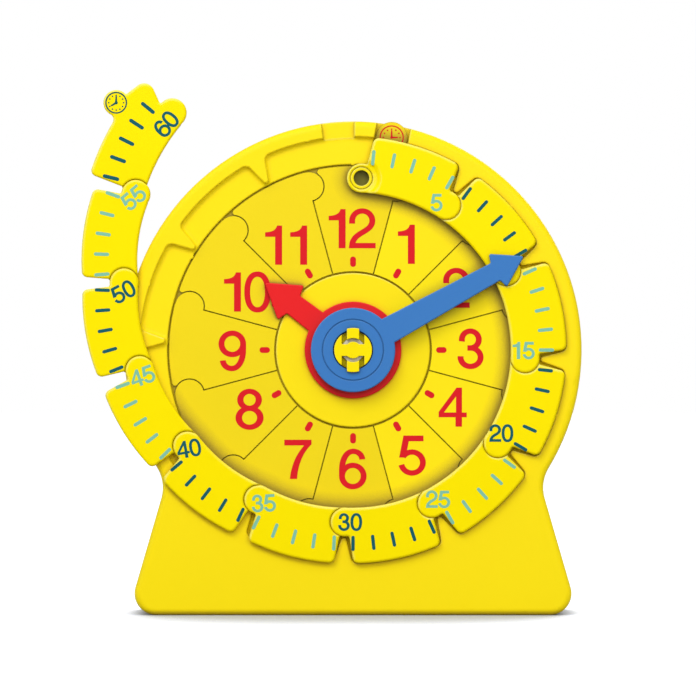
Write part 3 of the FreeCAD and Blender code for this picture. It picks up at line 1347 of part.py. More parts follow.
def make_idler_gear():
    """The idler: large gear behind, small pinion in front, on the axle."""
    body = new_body("idler_gear", dial_placement(0, idler_centre()))
    half_tooth = HALF_TURN / size("idler_gear_teeth")
    pad(body, disc_sketch(body, "hub_circle", "arbor_back", "idler_hub"),
        "pair_back - arbor_back + gear_face + gear_gap", "hub")
    cut_gear_teeth(body, "idler", "pair_back", "idler_gear_teeth", "idler_gear_root", half_tooth)
    cut_gear_teeth(body, "small", "wheel_back", "idler_pinion_teeth", "idler_pinion_root")
    thin_web(body, "idler", "pair_back")
    pocket(body, disc_sketch(body, "bore_circle", "plate_back", "axle_bore"),
           "plate_back - arbor_back", "bore")
    return body


def make_hour_wheel():
    """The hour wheel with the tube that carries the hour hand."""
    mesh = HALF_TURN + HALF_TURN / size("hour_wheel_teeth")
    body = new_body("hour_wheel", dial_placement(mesh))
    pad(body, disc_sketch(body, "tube_circle", "wheel_back", "wheel_tube"),
        "hour_hand_front - wheel_back", "tube")
    cut_gear_teeth(body, "wheel", "wheel_back", "hour_wheel_teeth", "hour_wheel_root")
    thin_web(body, "wheel", "wheel_back")
    pocket(body, disc_sketch(body, "bore_circle", "hour_hand_front", "wheel_bore"),
           "hour_hand_front - wheel_back", "bore")
    return body


# ---------------------------------------------------------------- finish

def build_parts():
    """Every sub-part of the clock."""
    parts = [make_front_housing(), make_rear_cover(), make_cover_screws()]
    parts += [make_post_core(), make_idler_axle(), make_stud(), make_center_post()]
    parts += [make_hour_tile(hour) for hour in range(1, HOURS + 1)]
    parts += [make_hour_hand(), make_hour_wheel(), make_minute_hand(), make_minute_pinion()]
    parts.append(make_idler_gear())
    for number, placement in enumerate(link_placements()):
        parts.append(make_minute_link(number, placement))
    return parts


def check(parts):
    """Stops with a message if an object failed or a sub-part has no valid solid."""
    for item in document.Objects:
        if "Invalid" in item.State or "Error" in item.State:
            raise RuntimeError(f"{item.Name} failed: {item.State}")
    for part in parts:
        shape = part.Shape
        if shape.isNull() or not shape.isValid() or not shape.Solids:
            raise RuntimeError(f"{part.Label} has no valid solid")


def write(parts):
    """Writes each sub-part to a file named after it."""
    os.makedirs("parts", exist_ok=True)
    for part in parts:
        part.Shape.exportStep(f"parts/{part.Label}.step")
        print(f"{part.Label}: {len(part.Shape.Solids)} solids, {part.Shape.Volume / 1000:.2f} cm3")


def main():
    """Builds, checks and writes the clock."""
    parts = build_parts()
    document.recompute()
    check(parts)
    write(parts)


main()
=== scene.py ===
import bmesh
import bpy
import json
import math
from mathutils import Matrix, Vector


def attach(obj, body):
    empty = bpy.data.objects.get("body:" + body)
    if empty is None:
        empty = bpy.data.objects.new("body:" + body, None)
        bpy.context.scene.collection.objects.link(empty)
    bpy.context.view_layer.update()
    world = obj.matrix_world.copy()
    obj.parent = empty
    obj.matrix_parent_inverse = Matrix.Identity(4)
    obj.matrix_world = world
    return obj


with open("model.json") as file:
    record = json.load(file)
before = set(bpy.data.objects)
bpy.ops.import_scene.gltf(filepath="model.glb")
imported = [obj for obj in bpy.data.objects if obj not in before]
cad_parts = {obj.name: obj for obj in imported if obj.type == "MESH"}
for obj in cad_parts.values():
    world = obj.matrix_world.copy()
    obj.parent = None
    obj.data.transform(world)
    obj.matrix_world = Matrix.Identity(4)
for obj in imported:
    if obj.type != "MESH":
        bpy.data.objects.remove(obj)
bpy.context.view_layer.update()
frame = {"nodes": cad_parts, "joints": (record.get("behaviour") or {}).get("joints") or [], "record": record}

# ---------------------------------------------------------------- sizes, millimetres
# Dial frame: x to the right, y up, z towards the viewer, origin on the dial axis in the rim plane.

MM = 0.001
HOURS = 12
MINUTES_PER_LINK = 5
LINK_PITCH = 30.0
MINUTE_PITCH = LINK_PITCH / MINUTES_PER_LINK
QUARTER_TURN = 90
HALF_TURN = 180
FULL_TURN = 360
DIAL_HEIGHT = 184.3
RIM_Y = 22.4
HINGE_RADIUS = 119.4
FIRST_HINGE = 2.8
LINK_TOP = 5.3
TILE_TOP = -3.5
LAST_CENTRE = 29.1
LAST_CENTRE_ANGLE = 220.0
LAST_TICK_RADIUS = 163.4
LAST_TICK_FIRST = 12.0
LAST_TICK_STEP = 4.81
LAST_TICK_LEAN = 6.4
LAST_TICK_TURN = 1.0

# Middles of the two tabs: distance from the dial axis and clock angle.
PULL_TAB = (155.0, 25.7)
PULL_TAB_TURN = -84
TILE_TAB = (150.2, 10.3)

# Prints are sunk a little into their piece. A tick has a length and a width.
PRINT_SUNK = 0.03
PRINT_PROUD = 0.06
THIN = PRINT_SUNK + PRINT_PROUD
SUNK = Vector((0, 0, -PRINT_SUNK))
HOUR_FIGURE = 27.2
HOUR_ADVANCE = 17.4
HOUR_TICK = (7.2, 4.0)
HOUR_TICK_RADIUS = 61.4
MINUTE_FIGURE = 11.6
LAST_FIGURE = 12.1
LAST_FIGURE_TURN = -3.5
MINUTE_ADVANCE = 8.5
MINUTE_TICK = (10.6, 2.35)
MINUTE_TICK_RADIUS = 134.0
LAST_TICK = (11.7, 2.6)
BOLDER = 0.012

# Shares of a small clock: its dots' circle of its radius, and the rest of the width of its lines.
ICON_DOTS = 0.72
ICON_HUB = 1.15
ICON_HAND_ROOT = 0.8
ICON_HAND_TIP = 0.5

# The photograph: its width and the dial axis in pixels, and the millimetres of a pixel.
PHOTO_WIDTH = 696
AXIS_PX = 353.0
AXIS_PY = 349.9
PIXEL = 0.6943

# Points nearer than these are one: on an outline, in a figure's mesh and in a print's mesh.
SAME_POINT = 1e-2
SAME_CORNER = 1e-5
SAME_VERTEX = 1e-6
NO_LENGTH = 1e-9
MITRE_LIMIT = 0.35


def polar(radius, clock_angle):
    """A point at a clock angle, clockwise from twelve."""
    angle = math.radians(clock_angle)
    return Vector((radius * math.sin(angle), radius * math.cos(angle), 0))


UPRIGHT = (Matrix.Translation(Vector((0, -RIM_Y, DIAL_HEIGHT)))
           @ Matrix.Rotation(math.radians(QUARTER_TURN), 4, "X"))


def turned(degrees, centre=(0, 0, 0)):
    """Rotation in the plane of the dial, counter-clockwise, about a centre."""
    shift = Matrix.Translation(Vector(centre))
    return shift @ Matrix.Rotation(math.radians(degrees), 4, "Z") @ shift.inverted()


def link_placements():
    """Rest placement of each link, from how far each hinge can still close."""
    ranges = {joint["name"]: joint.get("range_deg") for joint in frame["joints"]}
    tail = polar(HINGE_RADIUS, FIRST_HINGE)
    current = UPRIGHT.copy()
    placements = []
    for number in range(HOURS):
        if number:
            current = current @ turned(-LINK_PITCH)
        opening = -ranges[f"link_{MINUTES_PER_LINK * (number + 1):02d}_hinge"][0]
        current = current @ turned(opening, tail)
        placements.append(current.copy())
    return placements


# ---------------------------------------------------------------- figures
# Outlines of the figures 0 to 9, one unit high, drawn as pen strokes and as straight-edged shapes.

PEN_X = 0.074
PEN_Y = 0.067


def ellipse(cx, cy, rx, ry, start, end, steps=28, power=2.0):
    """Points of an elliptic arc; a power above 2 squares it off."""
    points = []
    for step in range(steps + 1):
        angle = math.radians(start + (end - start) * step / steps)
        cosine, sine = math.cos(angle), math.sin(angle)
        x = math.copysign(abs(cosine) ** (2 / power), cosine)
        y = math.copysign(abs(sine) ** (2 / power), sine)
        points.append((cx + rx * x, cy + ry * y))
    return points


def bezier(p0, p1, p2, p3, steps=14):
    """Points of a cubic curve."""
    points = []
    for step in range(steps + 1):
        t = step / steps
        a, b, c, d = (1 - t) ** 3, 3 * t * (1 - t) ** 2, 3 * t * t * (1 - t), t ** 3
        points.append(tuple(a * p0[i] + b * p1[i] + c * p2[i] + d * p3[i] for i in (0, 1)))
    return points


def joined(*paths):
    """One path from several, without doubled points."""
    points = []
    for path in paths:
        for point in path:
            if not points or math.dist(points[-1], point) > SAME_POINT:
                points.append(point)
    return points


def normals(points, closed):
    """Mitred unit offsets to the left of a path."""
    count = len(points)
    offsets = []
    for i in range(count):
        before = points[i - 1] if closed or i else points[0]
        after = points[(i + 1) % count] if closed or i < count - 1 else points[-1]
        one = Vector((points[i][0] - before[0], points[i][1] - before[1]))
        two = Vector((after[0] - points[i][0], after[1] - points[i][1]))
        one = two if one.length < NO_LENGTH else one
        two = one if two.length < NO_LENGTH else two
        one.normalize()
        two.normalize()
        middle = Vector((-one.y - two.y, one.x + two.x)).normalized()
        reach = middle.dot(Vector((-one.y, one.x)))
        offsets.append(middle / max(reach, MITRE_LIMIT))
    return offsets


def stroke(points, wide=PEN_X, high=PEN_Y):
    """Outline of an open pen stroke."""
    sides = normals(points, False)
    left = [(x + n.x * wide, y + n.y * high) for (x, y), n in zip(points, sides)]
    right = [(x - n.x * wide, y - n.y * high) for (x, y), n in zip(points, sides)]
    return [left + right[::-1]]


def ring(cx, cy, rx, ry, wide=PEN_X, high=PEN_Y, power=2.0, steps=56):
    """Outer and inner outline of a closed pen stroke."""
    outer = ellipse(cx, cy, rx + wide, ry + high, 0, FULL_TURN, steps, power)[:-1]
    inner = ellipse(cx, cy, rx - wide, ry - high, 0, FULL_TURN, steps, power)[:-1]
    return [outer, inner]


def grown(loops, amount):
    """The loops of a shape with the outline moved outwards and its holes made smaller."""
    if not amount:
        return loops
    moved = []
    for number, loop in enumerate(loops):
        area = sum(x * loop[i - 1][1] - y * loop[i - 1][0] for i, (x, y) in enumerate(loop))
        reach = amount if (area > 0) == (number == 0) else -amount
        sides = normals(loop, True)
        moved.append([(x + n.x * reach, y + n.y * reach) for (x, y), n in zip(loop, sides)])
    return moved


def half_turned(shapes, width):
    """The shapes turned upside down in their place."""
    return [[[(width - x, 1 - y) for x, y in loop] for loop in shape] for shape in shapes]


def figure_shapes():
    """The shapes of each figure and its width."""
    six = [
        ring(0.355, 0.325, 0.277, 0.272),
        stroke(joined(ellipse(0.37, 0.735, 0.228, 0.220, 4, 90),
                      ellipse(0.37, 0.47, 0.292, 0.485, 90, 180, power=2.15), [(0.078, 0.32)])),
    ]
    shapes = {
        "0": [ring(0.337, 0.5, 0.263, 0.456, power=2.25)],
        "1": [[joined([(0.43, 0), (0.43, 1), (0.303, 1)],
                      bezier((0.303, 1), (0.27, 0.87), (0.16, 0.835), (0, 0.827)),
                      [(0, 0.714), (0.255, 0.714), (0.255, 0)])]],
        "2": [stroke(joined([(0.087, 0.63)], ellipse(0.345, 0.705, 0.258, 0.248, 180, -32),
                            bezier((0.564, 0.574), (0.46, 0.40), (0.10, 0.37), (0.085, 0.067)),
                            [(0.686, 0.067)]))],
        "3": [
            stroke(joined([(0.105, 0.69)], ellipse(0.325, 0.737, 0.217, 0.216, 185, -90),
                          [(0.25, 0.521)])),
            stroke(joined([(0.25, 0.521)], ellipse(0.33, 0.285, 0.257, 0.236, 90, -186))),
        ],
        "4": [[[(0.43, 0), (0.593, 0), (0.593, 0.24), (0.715, 0.24), (0.715, 0.36), (0.593, 0.36),
                (0.593, 0.995), (0.457, 0.995), (0, 0.375), (0, 0.24), (0.43, 0.24)],
               [(0.443, 0.36), (0.13, 0.36), (0.443, 0.775)]]],
        "5": [
            [[(0.136, 1), (0.647, 1), (0.647, 0.857), (0.272, 0.857), (0.205, 0.52), (0.177, 0.44),
              (0.027, 0.44)]],
            stroke(ellipse(0.355, 0.312, 0.277, 0.268, 146, -168)),
        ],
        "6": six,
        "7": [[joined([(0, 1), (0.692, 1)],
                      bezier((0.692, 0.885), (0.46, 0.66), (0.34, 0.33), (0.325, 0)),
                      bezier((0.14, 0), (0.18, 0.36), (0.31, 0.64), (0.507, 0.857)),
                      [(0, 0.857)])]],
        "8": [ring(0.358, 0.744, 0.236, 0.216, 0.079, 0.065),
              ring(0.358, 0.284, 0.275, 0.241, 0.083, 0.065)],
        "9": half_turned(six, 0.71),
    }
    widths = {"0": 0.674, "1": 0.43, "2": 0.686, "3": 0.661, "4": 0.715, "5": 0.706, "6": 0.706,
              "7": 0.692, "8": 0.717, "9": 0.706}
    return shapes, widths


# ---------------------------------------------------------------- meshes

def plate_mesh(name, loops, low, high, matrix=Matrix.Identity(4)):
    """A flat plate with the loops as its outline and holes, between two levels."""
    curve = bpy.data.curves.new(name, "CURVE")
    curve.dimensions = "2D"
    curve.fill_mode = "BOTH"
    curve.extrude = (high - low) / 2
    for loop in loops:
        spline = curve.splines.new("POLY")
        spline.points.add(len(loop) - 1)
        for point, (x, y) in zip(spline.points, loop):
            point.co = (x, y, 0, 1)
        spline.use_cyclic_u = True
    holder = bpy.data.objects.new(name, curve)
    bpy.context.scene.collection.objects.link(holder)
    bpy.context.view_layer.update()
    depsgraph = bpy.context.evaluated_depsgraph_get()
    mesh = bpy.data.meshes.new_from_object(holder.evaluated_get(depsgraph))
    bpy.data.objects.remove(holder)
    bpy.data.curves.remove(curve)
    mesh.transform(matrix @ Matrix.Translation(Vector((0, 0, (low + high) / 2))))
    mesh.name = name
    return mesh


def weld(mesh):
    """Joins the plate's faces and sides at shared corners."""
    work = bmesh.new()
    work.from_mesh(mesh)
    bmesh.ops.remove_doubles(work, verts=work.verts, dist=SAME_CORNER)
    bmesh.ops.recalc_face_normals(work, faces=work.faces)
    work.to_mesh(mesh)
    work.free()
    return mesh


def united(name, meshes):
    """One closed mesh from several that overlap."""
    if len(meshes) == 1:
        return meshes[0]
    holders = [bpy.data.objects.new(f"{name}_{i}", weld(mesh)) for i, mesh in enumerate(meshes)]
    for holder in holders:
        bpy.context.scene.collection.objects.link(holder)
    base = holders[0]
    for other in holders[1:]:
        union = base.modifiers.new(other.name, "BOOLEAN")
        union.operation = "UNION"
        union.solver = "EXACT"
        union.object = other
    bpy.context.view_layer.update()
    depsgraph = bpy.context.evaluated_depsgraph_get()
    mesh = bpy.data.meshes.new_from_object(base.evaluated_get(depsgraph))
    for holder in holders:
        bpy.data.objects.remove(holder)
    mesh.name = name
    return mesh


def merged(name, parts):
    """One mesh from copies of several, each with its own matrix."""
    work = bmesh.new()
    for mesh, matrix in parts:
        copy = mesh.copy()
        copy.transform(matrix)
        work.from_mesh(copy)
        bpy.data.meshes.remove(copy)
    bmesh.ops.remove_doubles(work, verts=work.verts, dist=SAME_VERTEX)
    bmesh.ops.recalc_face_normals(work, faces=work.faces)
    mesh = bpy.data.meshes.new(name)
    work.to_mesh(mesh)
    work.free()
    return mesh


def piece(name, mesh, material, body):
    """A piece of the model, in metres, riding on a body."""
    mesh.transform(Matrix.Scale(MM, 4))
    mesh.materials.clear()
    mesh.materials.append(material)
    thing = bpy.data.objects.new(name, mesh)
    bpy.context.scene.collection.objects.link(thing)
    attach(thing, body)
    return thing


def thin_plate(name, loops, matrix=Matrix.Identity(4)):
    """A plate as thick as a print, with its back at the origin's level."""
    return plate_mesh(name, loops, 0, THIN, matrix)


def disc(radius, steps):
    """Outline of a disc about the origin."""
    return [ellipse(0, 0, radius, radius, 0, FULL_TURN, steps)[:-1]]


def capsule(length, width, steps=10):
    """Outline of a bar with round ends, upright about the origin."""
    half = width / 2
    reach = length / 2 - half
    top = ellipse(0, reach, half, half, 0, HALF_TURN, steps)
    bottom = ellipse(0, -reach, half, half, HALF_TURN, FULL_TURN, steps)
    return [joined(top, bottom)]


def make_figures(bolder=0.0):
    """Unit-high plates of the ten figures."""
    figures = {}
    for name, parts in SHAPES.items():
        meshes = [plate_mesh(f"figure_{name}", grown(loops, bolder), 0, 1) for loops in parts]
        figures[name] = united(f"figure_{name}", meshes)
    return figures


SHAPES, WIDTHS = figure_shapes()
FIGURES = make_figures()
BOLD_FIGURES = make_figures(BOLDER)


def figure_parts(figures, text, height, advance, at, tilt=0.0):
    """The figures of a number, centred on a point and turned counter-clockwise by tilt."""
    parts = []
    start = -advance * (len(text) - 1) / 2
    for i, letter in enumerate(text):
        size = Matrix.Diagonal((height, height, THIN, 1))
        left = -WIDTHS[letter] * height / 2 + start + i * advance
        centre = Matrix.Translation(Vector((left, -height / 2, 0)))
        place = Matrix.Translation(Vector((at[0], at[1], -PRINT_SUNK))) @ turned(tilt)
        parts.append((figures[letter], place @ centre @ size))
    return parts


# ---------------------------------------------------------------- materials
# Painted shade beside steps and in gaps, darker where less of the sky is open: its reach, and the open
# shares where it is full and where it ends.
STEP = (14.0, 0.5, 0.97)
SHORT_STEP = (5.0, 0.42, 0.95)
TILE_STEP = (12.0, 0.6, 0.98)
GAP = (1.6, 0.05, 0.42)
SHADE_RAYS = 8
EDGE_RAYS = 4

# Noises: how fine each is and how many octaves it has.
DRIFT = (14, 3)
PATCHES = (46, 5)
SPECK = (1500, 2)
MOTTLE = (420, 4)

# Cosines between which an edge tint (painted highlight on upper edges, painted shade on lower ones) grows
# from none to full: with the edge's turn and with its side.
EDGE_TURN = (0.998, 0.93)
SIDE_TURN = (0.02, 0.35)

# Shares of the colour in the painted shades, changes of the roughness, and how far light spreads inside, in
# metres.
SOFT_SHARE = 0.6
DEEP_SHARE = 0.15
PLASTIC_BUMP = 0.35
PLASTIC_ROUGH = (-0.07, 0.09)
SCATTER = (0.0024, 0.0018, 0.0004)
INK_BUMP = 0.2
INK_GRAIN = 0.01
INK_ROUGH = (-0.06, 0.08)
INK_TONES = (0.94, 1.05)
INK_GLEAM = 0.05


def new_material(name):
    """A new material with its nodes and links."""
    material = bpy.data.materials.new(name)
    material.use_nodes = True
    return material, material.node_tree.nodes, material.node_tree.links


def mix_colours(nodes, one, other):
    """A node that blends two colours."""
    blend = nodes.new("ShaderNodeMix")
    blend.data_type = "RGBA"
    blend.inputs["A"].default_value = (*[min(1, c) for c in one], 1)
    blend.inputs["B"].default_value = (*[min(1, c) for c in other], 1)
    return blend


def remap(nodes, low, high, to_low=0.0, to_high=1.0):
    """A node that maps one range of values on another."""
    ramp = nodes.new("ShaderNodeMapRange")
    ramp.inputs["From Min"].default_value = low
    ramp.inputs["From Max"].default_value = high
    ramp.inputs["To Min"].default_value = to_low
    ramp.inputs["To Max"].default_value = to_high
    return ramp


def combined(nodes, links, operation, one, other):
    """The output of a node that combines two values."""
    node = nodes.new("ShaderNodeMath")
    node.operation = operation
    links.new(one, node.inputs[0])
    links.new(other, node.inputs[1])
    return node.outputs[0]


def noise(nodes, scale, detail):
    """A noise texture."""
    texture = nodes.new("ShaderNodeTexNoise")
    texture.inputs["Scale"].default_value = scale
    texture.inputs["Detail"].default_value = detail
    return texture


def bumped(nodes, links, texture, strength, distance):
    """A bump from a noise texture; distance is in millimetres."""
    bump = nodes.new("ShaderNodeBump")
    bump.inputs["Strength"].default_value = strength
    bump.inputs["Distance"].default_value = distance * MM
    links.new(texture.outputs["Fac"], bump.inputs["Height"])
    return bump


def creased(nodes, links, source, reach, low, high, shade):
    """Turns a colour to a painted shade beside steps and in gaps.

    reach is in millimetres; the shade is full where only the share low is open to the sky."""
    near = nodes.new("ShaderNodeAmbientOcclusion")
    near.samples = SHADE_RAYS
    near.inputs["Distance"].default_value = reach * MM
    open_share = remap(nodes, low, high)
    blend = mix_colours(nodes, shade, shade)
    links.new(near.outputs["AO"], open_share.inputs["Value"])
    links.new(open_share.outputs["Result"], blend.inputs["Factor"])
    links.new(source, blend.inputs["B"])
    return blend.outputs["Result"]


# Edges facing UPPER get a painted highlight and edges facing LOWER a painted shade, as from a light at the
# upper left; ROUND_ABOUT tints all edges alike.
UPPER = Vector((-0.6, 0, 0.8))
LOWER = -UPPER
ROUND_ABOUT = None


def edged(nodes, links, bevel, source, tints):
    """Tints the edges of a piece with painted highlight and shade: each tint has the side that it is on, a
    colour and a share.
    """
    normal = nodes.new("ShaderNodeNewGeometry")
    facing = nodes.new("ShaderNodeVectorMath")
    facing.operation = "DOT_PRODUCT"
    links.new(normal.outputs["Normal"], facing.inputs[0])
    links.new(bevel.outputs["Normal"], facing.inputs[1])
    for side, colour, share in tints:
        edge = remap(nodes, *EDGE_TURN, 0, share)
        links.new(facing.outputs["Value"], edge.inputs["Value"])
        amount = edge.outputs["Result"]
        if side is not ROUND_ABOUT:
            towards = nodes.new("ShaderNodeVectorMath")
            towards.operation = "DOT_PRODUCT"
            towards.inputs[1].default_value = side
            turned_to = remap(nodes, *SIDE_TURN)
            links.new(bevel.outputs["Normal"], towards.inputs[0])
            links.new(towards.outputs["Value"], turned_to.inputs["Value"])
            amount = combined(nodes, links, "MULTIPLY", amount, turned_to.outputs["Result"])
        tint = mix_colours(nodes, colour, colour)
        links.new(amount, tint.inputs["Factor"])
        links.new(source, tint.inputs["A"])
        source = tint.outputs["Result"]
    return source


def plastic(name, colour, rough=0.36, shade=0.02, grain=0.012, gleam=0.08, inside=0.03, tints=(),
            bevelled=0.8, soft=None, deep=None, step=STEP):
    """Moulded plastic: slight drift of tone, fine grain, handled patches, painted highlight and shade on the
    edges, and painted shade beside steps and in gaps.

    bevelled is the edges' width, and soft and deep are the painted shades beside steps and in gaps."""
    material, nodes, links = new_material(name)
    shader = nodes["Principled BSDF"]
    place = nodes.new("ShaderNodeTexCoord")
    drift, patches, speck = noise(nodes, *DRIFT), noise(nodes, *PATCHES), noise(nodes, *SPECK)
    tone = mix_colours(nodes, [c * (1 - shade) for c in colour], [c * (1 + shade) for c in colour])
    bevel = nodes.new("ShaderNodeBevel")
    bevel.samples = EDGE_RAYS
    bevel.inputs["Radius"].default_value = bevelled * MM
    gloss = remap(nodes, 0, 1, *[rough + change for change in PLASTIC_ROUGH])
    bump = bumped(nodes, links, speck, PLASTIC_BUMP, grain)
    for texture in (drift, patches, speck):
        links.new(place.outputs["Object"], texture.inputs["Vector"])
    links.new(drift.outputs["Fac"], tone.inputs["Factor"])
    # Painted highlight on the upper edges and painted shade on the lower ones.
    edge_highlight_and_shade = edged(nodes, links, bevel, tone.outputs["Result"], tints)
    soft = soft or [c * SOFT_SHARE for c in colour]
    deep = deep or [c * DEEP_SHARE for c in colour]
    shaded = creased(nodes, links, edge_highlight_and_shade, *step, soft)
    shaded = creased(nodes, links, shaded, *GAP, deep)
    links.new(shaded, shader.inputs["Base Color"])
    links.new(patches.outputs["Fac"], gloss.inputs["Value"])
    links.new(gloss.outputs["Result"], shader.inputs["Roughness"])
    links.new(bevel.outputs["Normal"], bump.inputs["Normal"])
    links.new(bump.outputs["Normal"], shader.inputs["Normal"])
    shader.inputs["Specular IOR Level"].default_value = gleam
    shader.inputs["Subsurface Weight"].default_value = inside
    shader.inputs["Subsurface Radius"].default_value = SCATTER
    return material


def ink(name, colour, rough=0.42, soft=0.7):
    """Pad print: an even film with slight mottling; soft is the tone of its painted shade beside steps."""
    material, nodes, links = new_material(name)
    shader = nodes["Principled BSDF"]
    place = nodes.new("ShaderNodeTexCoord")
    mottle = noise(nodes, *MOTTLE)
    dark, bright = INK_TONES
    tone = mix_colours(nodes, [c * dark for c in colour], [c * bright for c in colour])
    gloss = remap(nodes, 0, 1, *[rough + change for change in INK_ROUGH])
    bump = bumped(nodes, links, mottle, INK_BUMP, INK_GRAIN)
    links.new(place.outputs["Object"], mottle.inputs["Vector"])
    links.new(mottle.outputs["Fac"], tone.inputs["Factor"])
    shaded = creased(nodes, links, tone.outputs["Result"], *STEP, [c * soft for c in colour])
    links.new(shaded, shader.inputs["Base Color"])
    links.new(mottle.outputs["Fac"], gloss.inputs["Value"])
    links.new(gloss.outputs["Result"], shader.inputs["Roughness"])
    links.new(bump.outputs["Normal"], shader.inputs["Normal"])
    shader.inputs["Specular IOR Level"].default_value = INK_GLEAM
    return material


def steel(name, colour):
    """Zinc-plated steel with a cloudy finish and bright edges."""
    material = plastic(name, colour, rough=0.34, shade=0.08, grain=0.02, inside=0.0,
                       tints=[(ROUND_ABOUT, BRIGHT_STEEL, 0.3)])
    material.node_tree.nodes["Principled BSDF"].inputs["Metallic"].default_value = 1.0
    return material


def linear(red, green, blue):
    """Scene colour of a screen colour given from 0 to 255."""
    def one(value):
        value /= 255
        return value / 12.92 if value <= 0.04045 else ((value + 0.055) / 1.055) ** 2.4
    return one(red), one(green), one(blue)


# PALE_YELLOW is a painted edge highlight; OCHRE, OLIVE, DULL_YELLOW and GAP_YELLOW are painted shades beside
# steps, in gaps and on lower edges.
OCHRE = linear(156, 134, 44)
OLIVE = linear(70, 62, 6)
PALE_YELLOW = linear(255, 250, 150)
DULL_YELLOW = linear(186, 156, 10)
GAP_YELLOW = linear(184, 158, 14)
OFF_WHITE = (0.9, 0.9, 0.85)
BRIGHT_STEEL = (0.9, 0.9, 0.9)
# Edge tints: the upper side gets a painted highlight and the lower side a painted shade; the tiles' olive
# edges are painted shade along their gaps.
HOUSING_EDGES = [(UPPER, PALE_YELLOW, 0.6), (LOWER, DULL_YELLOW, 0.5)]
LINK_EDGES = [(UPPER, PALE_YELLOW, 0.95), (LOWER, DULL_YELLOW, 0.55)]
TILE_EDGES = [(ROUND_ABOUT, OLIVE, 0.9)]
RED_EDGES = [(UPPER, linear(246, 96, 92), 0.4), (LOWER, linear(170, 24, 28), 0.4)]
BLUE_EDGES = [(UPPER, linear(116, 168, 224), 0.5), (LOWER, linear(34, 80, 142), 0.5)]
# In each material, soft and deep are the colours of its painted shade beside steps and in gaps.
MATERIALS = {
    "housing_yellow": plastic("housing_plastic", linear(252, 226, 14), tints=HOUSING_EDGES,
                              bevelled=1.8, soft=linear(218, 190, 26), deep=GAP_YELLOW,
                              step=SHORT_STEP),
    "tile_yellow": plastic("tile_plastic", linear(241, 215, 22), rough=0.4, tints=TILE_EDGES,
                           bevelled=0.5, soft=OCHRE, deep=OLIVE, step=TILE_STEP),
    "link_yellow": plastic("link_plastic", linear(252, 230, 0), gleam=0.03, tints=LINK_EDGES, bevelled=2.4,
                           soft=linear(238, 212, 8), deep=linear(226, 198, 8)),
    "post_yellow": plastic("post_plastic", linear(252, 228, 8), gleam=0.03, tints=HOUSING_EDGES,
                           deep=linear(120, 100, 10)),
    "hour_red": plastic("hour_hand_plastic", linear(231, 32, 35), tints=RED_EDGES,
                        soft=linear(226, 36, 40), deep=linear(90, 12, 14)),
    "minute_blue": plastic("minute_hand_plastic", linear(60, 121, 190), tints=BLUE_EDGES,
                           deep=linear(20, 50, 92)),
    "gear_plastic": plastic("gear_plastic", linear(226, 224, 214), rough=0.45, inside=0.1,
                            tints=[(ROUND_ABOUT, OFF_WHITE, 0.25)]),
    "core_plastic": plastic("core_plastic", linear(240, 236, 222), rough=0.45,
                            tints=[(ROUND_ABOUT, OFF_WHITE, 0.25)], soft=linear(214, 210, 196),
                            deep=linear(150, 146, 130)),
    "screw_steel": steel("screw_steel", linear(190, 190, 192)),
}
# Tiles 1 to 5 get a brighter copy of the tile plastic: painted light, as if more light fell on the right of
# the dial.
PAINTED_LIT_TILE = plastic("painted_lit_tile_plastic", linear(253, 228, 14), rough=0.4, tints=TILE_EDGES,
                      bevelled=0.5, soft=OCHRE, deep=OLIVE, step=TILE_STEP)
PAINTED_LIT_TILES = range(1, 6)
# The stud's bore is painted dark: its soft and deep colours are painted shade.
STUD_PLASTIC = plastic("stud_plastic", linear(246, 224, 10), tints=LINK_EDGES, soft=linear(120, 114, 40),
                       deep=linear(96, 90, 26))
OWN_LOOKS = {"number_line_stud": STUD_PLASTIC}
OWN_LOOKS.update({f"hour_tile_{hour:02d}": PAINTED_LIT_TILE for hour in PAINTED_LIT_TILES})
RED_INK = ink("red_ink", linear(219, 30, 38))
DARK_INK = ink("dark_teal_ink", linear(22, 92, 100))
LIGHT_INK = ink("light_teal_ink", linear(129, 192, 166))
ICON_INK = ink("icon_ink", linear(34, 92, 84))


def dress_frame():
    """Gives every carried CAD node the material of its slot, or its own look where it has one."""
    slots = {row["node"]: row["material_slot"] for row in frame["record"]["subparts"]}
    for name, thing in frame["nodes"].items():
        look = OWN_LOOKS.get(name, MATERIALS[slots[name]])
        for slot in thing.material_slots:
            slot.link = "OBJECT"
            slot.material = look


dress_frame()


# ---------------------------------------------------------------- prints
# The centres of the printed numbers are in pixels of the photograph.

HOUR_CENTRES = {
    12: (349.6, 228.4), 1: (406.4, 244.0), 2: (456.3, 288.0), 3: (470.7, 348.7), 4: (452.8, 407.0),
    5: (412.0, 455.2), 6: (352.7, 469.2), 7: (297.8, 459.4), 8: (249.4, 409.3), 9: (232.0, 350.6),
    10: (244.8, 291.8), 11: (286.0, 244.9)}
MINUTE_CENTRES = {
    5: (436.2, 202.6), 10: (500.9, 264.5), 15: (522.1, 350.3), 20: (501.0, 432.9), 25: (437.7, 498.8),
    30: (350.1, 521.6), 35: (263.7, 502.7), 40: (189.3, 448.3), 45: (142.7, 376.0), 50: (123.7, 291.7),
    55: (133.7, 198.0), 60: (166.7, 124.3)}


def on_dial(px, py):
    """Dial-frame millimetres of a point of the photograph."""
    return Vector(((px - AXIS_PX) * PIXEL, (AXIS_PY - py) * PIXEL, 0))


TILE_SURFACE = UPRIGHT @ Matrix.Translation(Vector((0, 0, TILE_TOP)))


def make_hour_prints():
    """The red figures and ticks of the hour tiles."""
    tick = thin_plate("hour_tick", capsule(*HOUR_TICK))
    for hour, centre in HOUR_CENTRES.items():
        angle = LINK_PITCH * hour
        name = f"hour_print_{hour:02d}"
        parts = figure_parts(FIGURES, str(hour), HOUR_FIGURE, HOUR_ADVANCE, on_dial(*centre))
        place = Matrix.Translation(polar(HOUR_TICK_RADIUS, angle) + SUNK) @ turned(-angle)
        parts.append((tick, place))
        mesh = merged(name, parts)
        mesh.transform(TILE_SURFACE)
        piece(name, mesh, RED_INK, "housing")


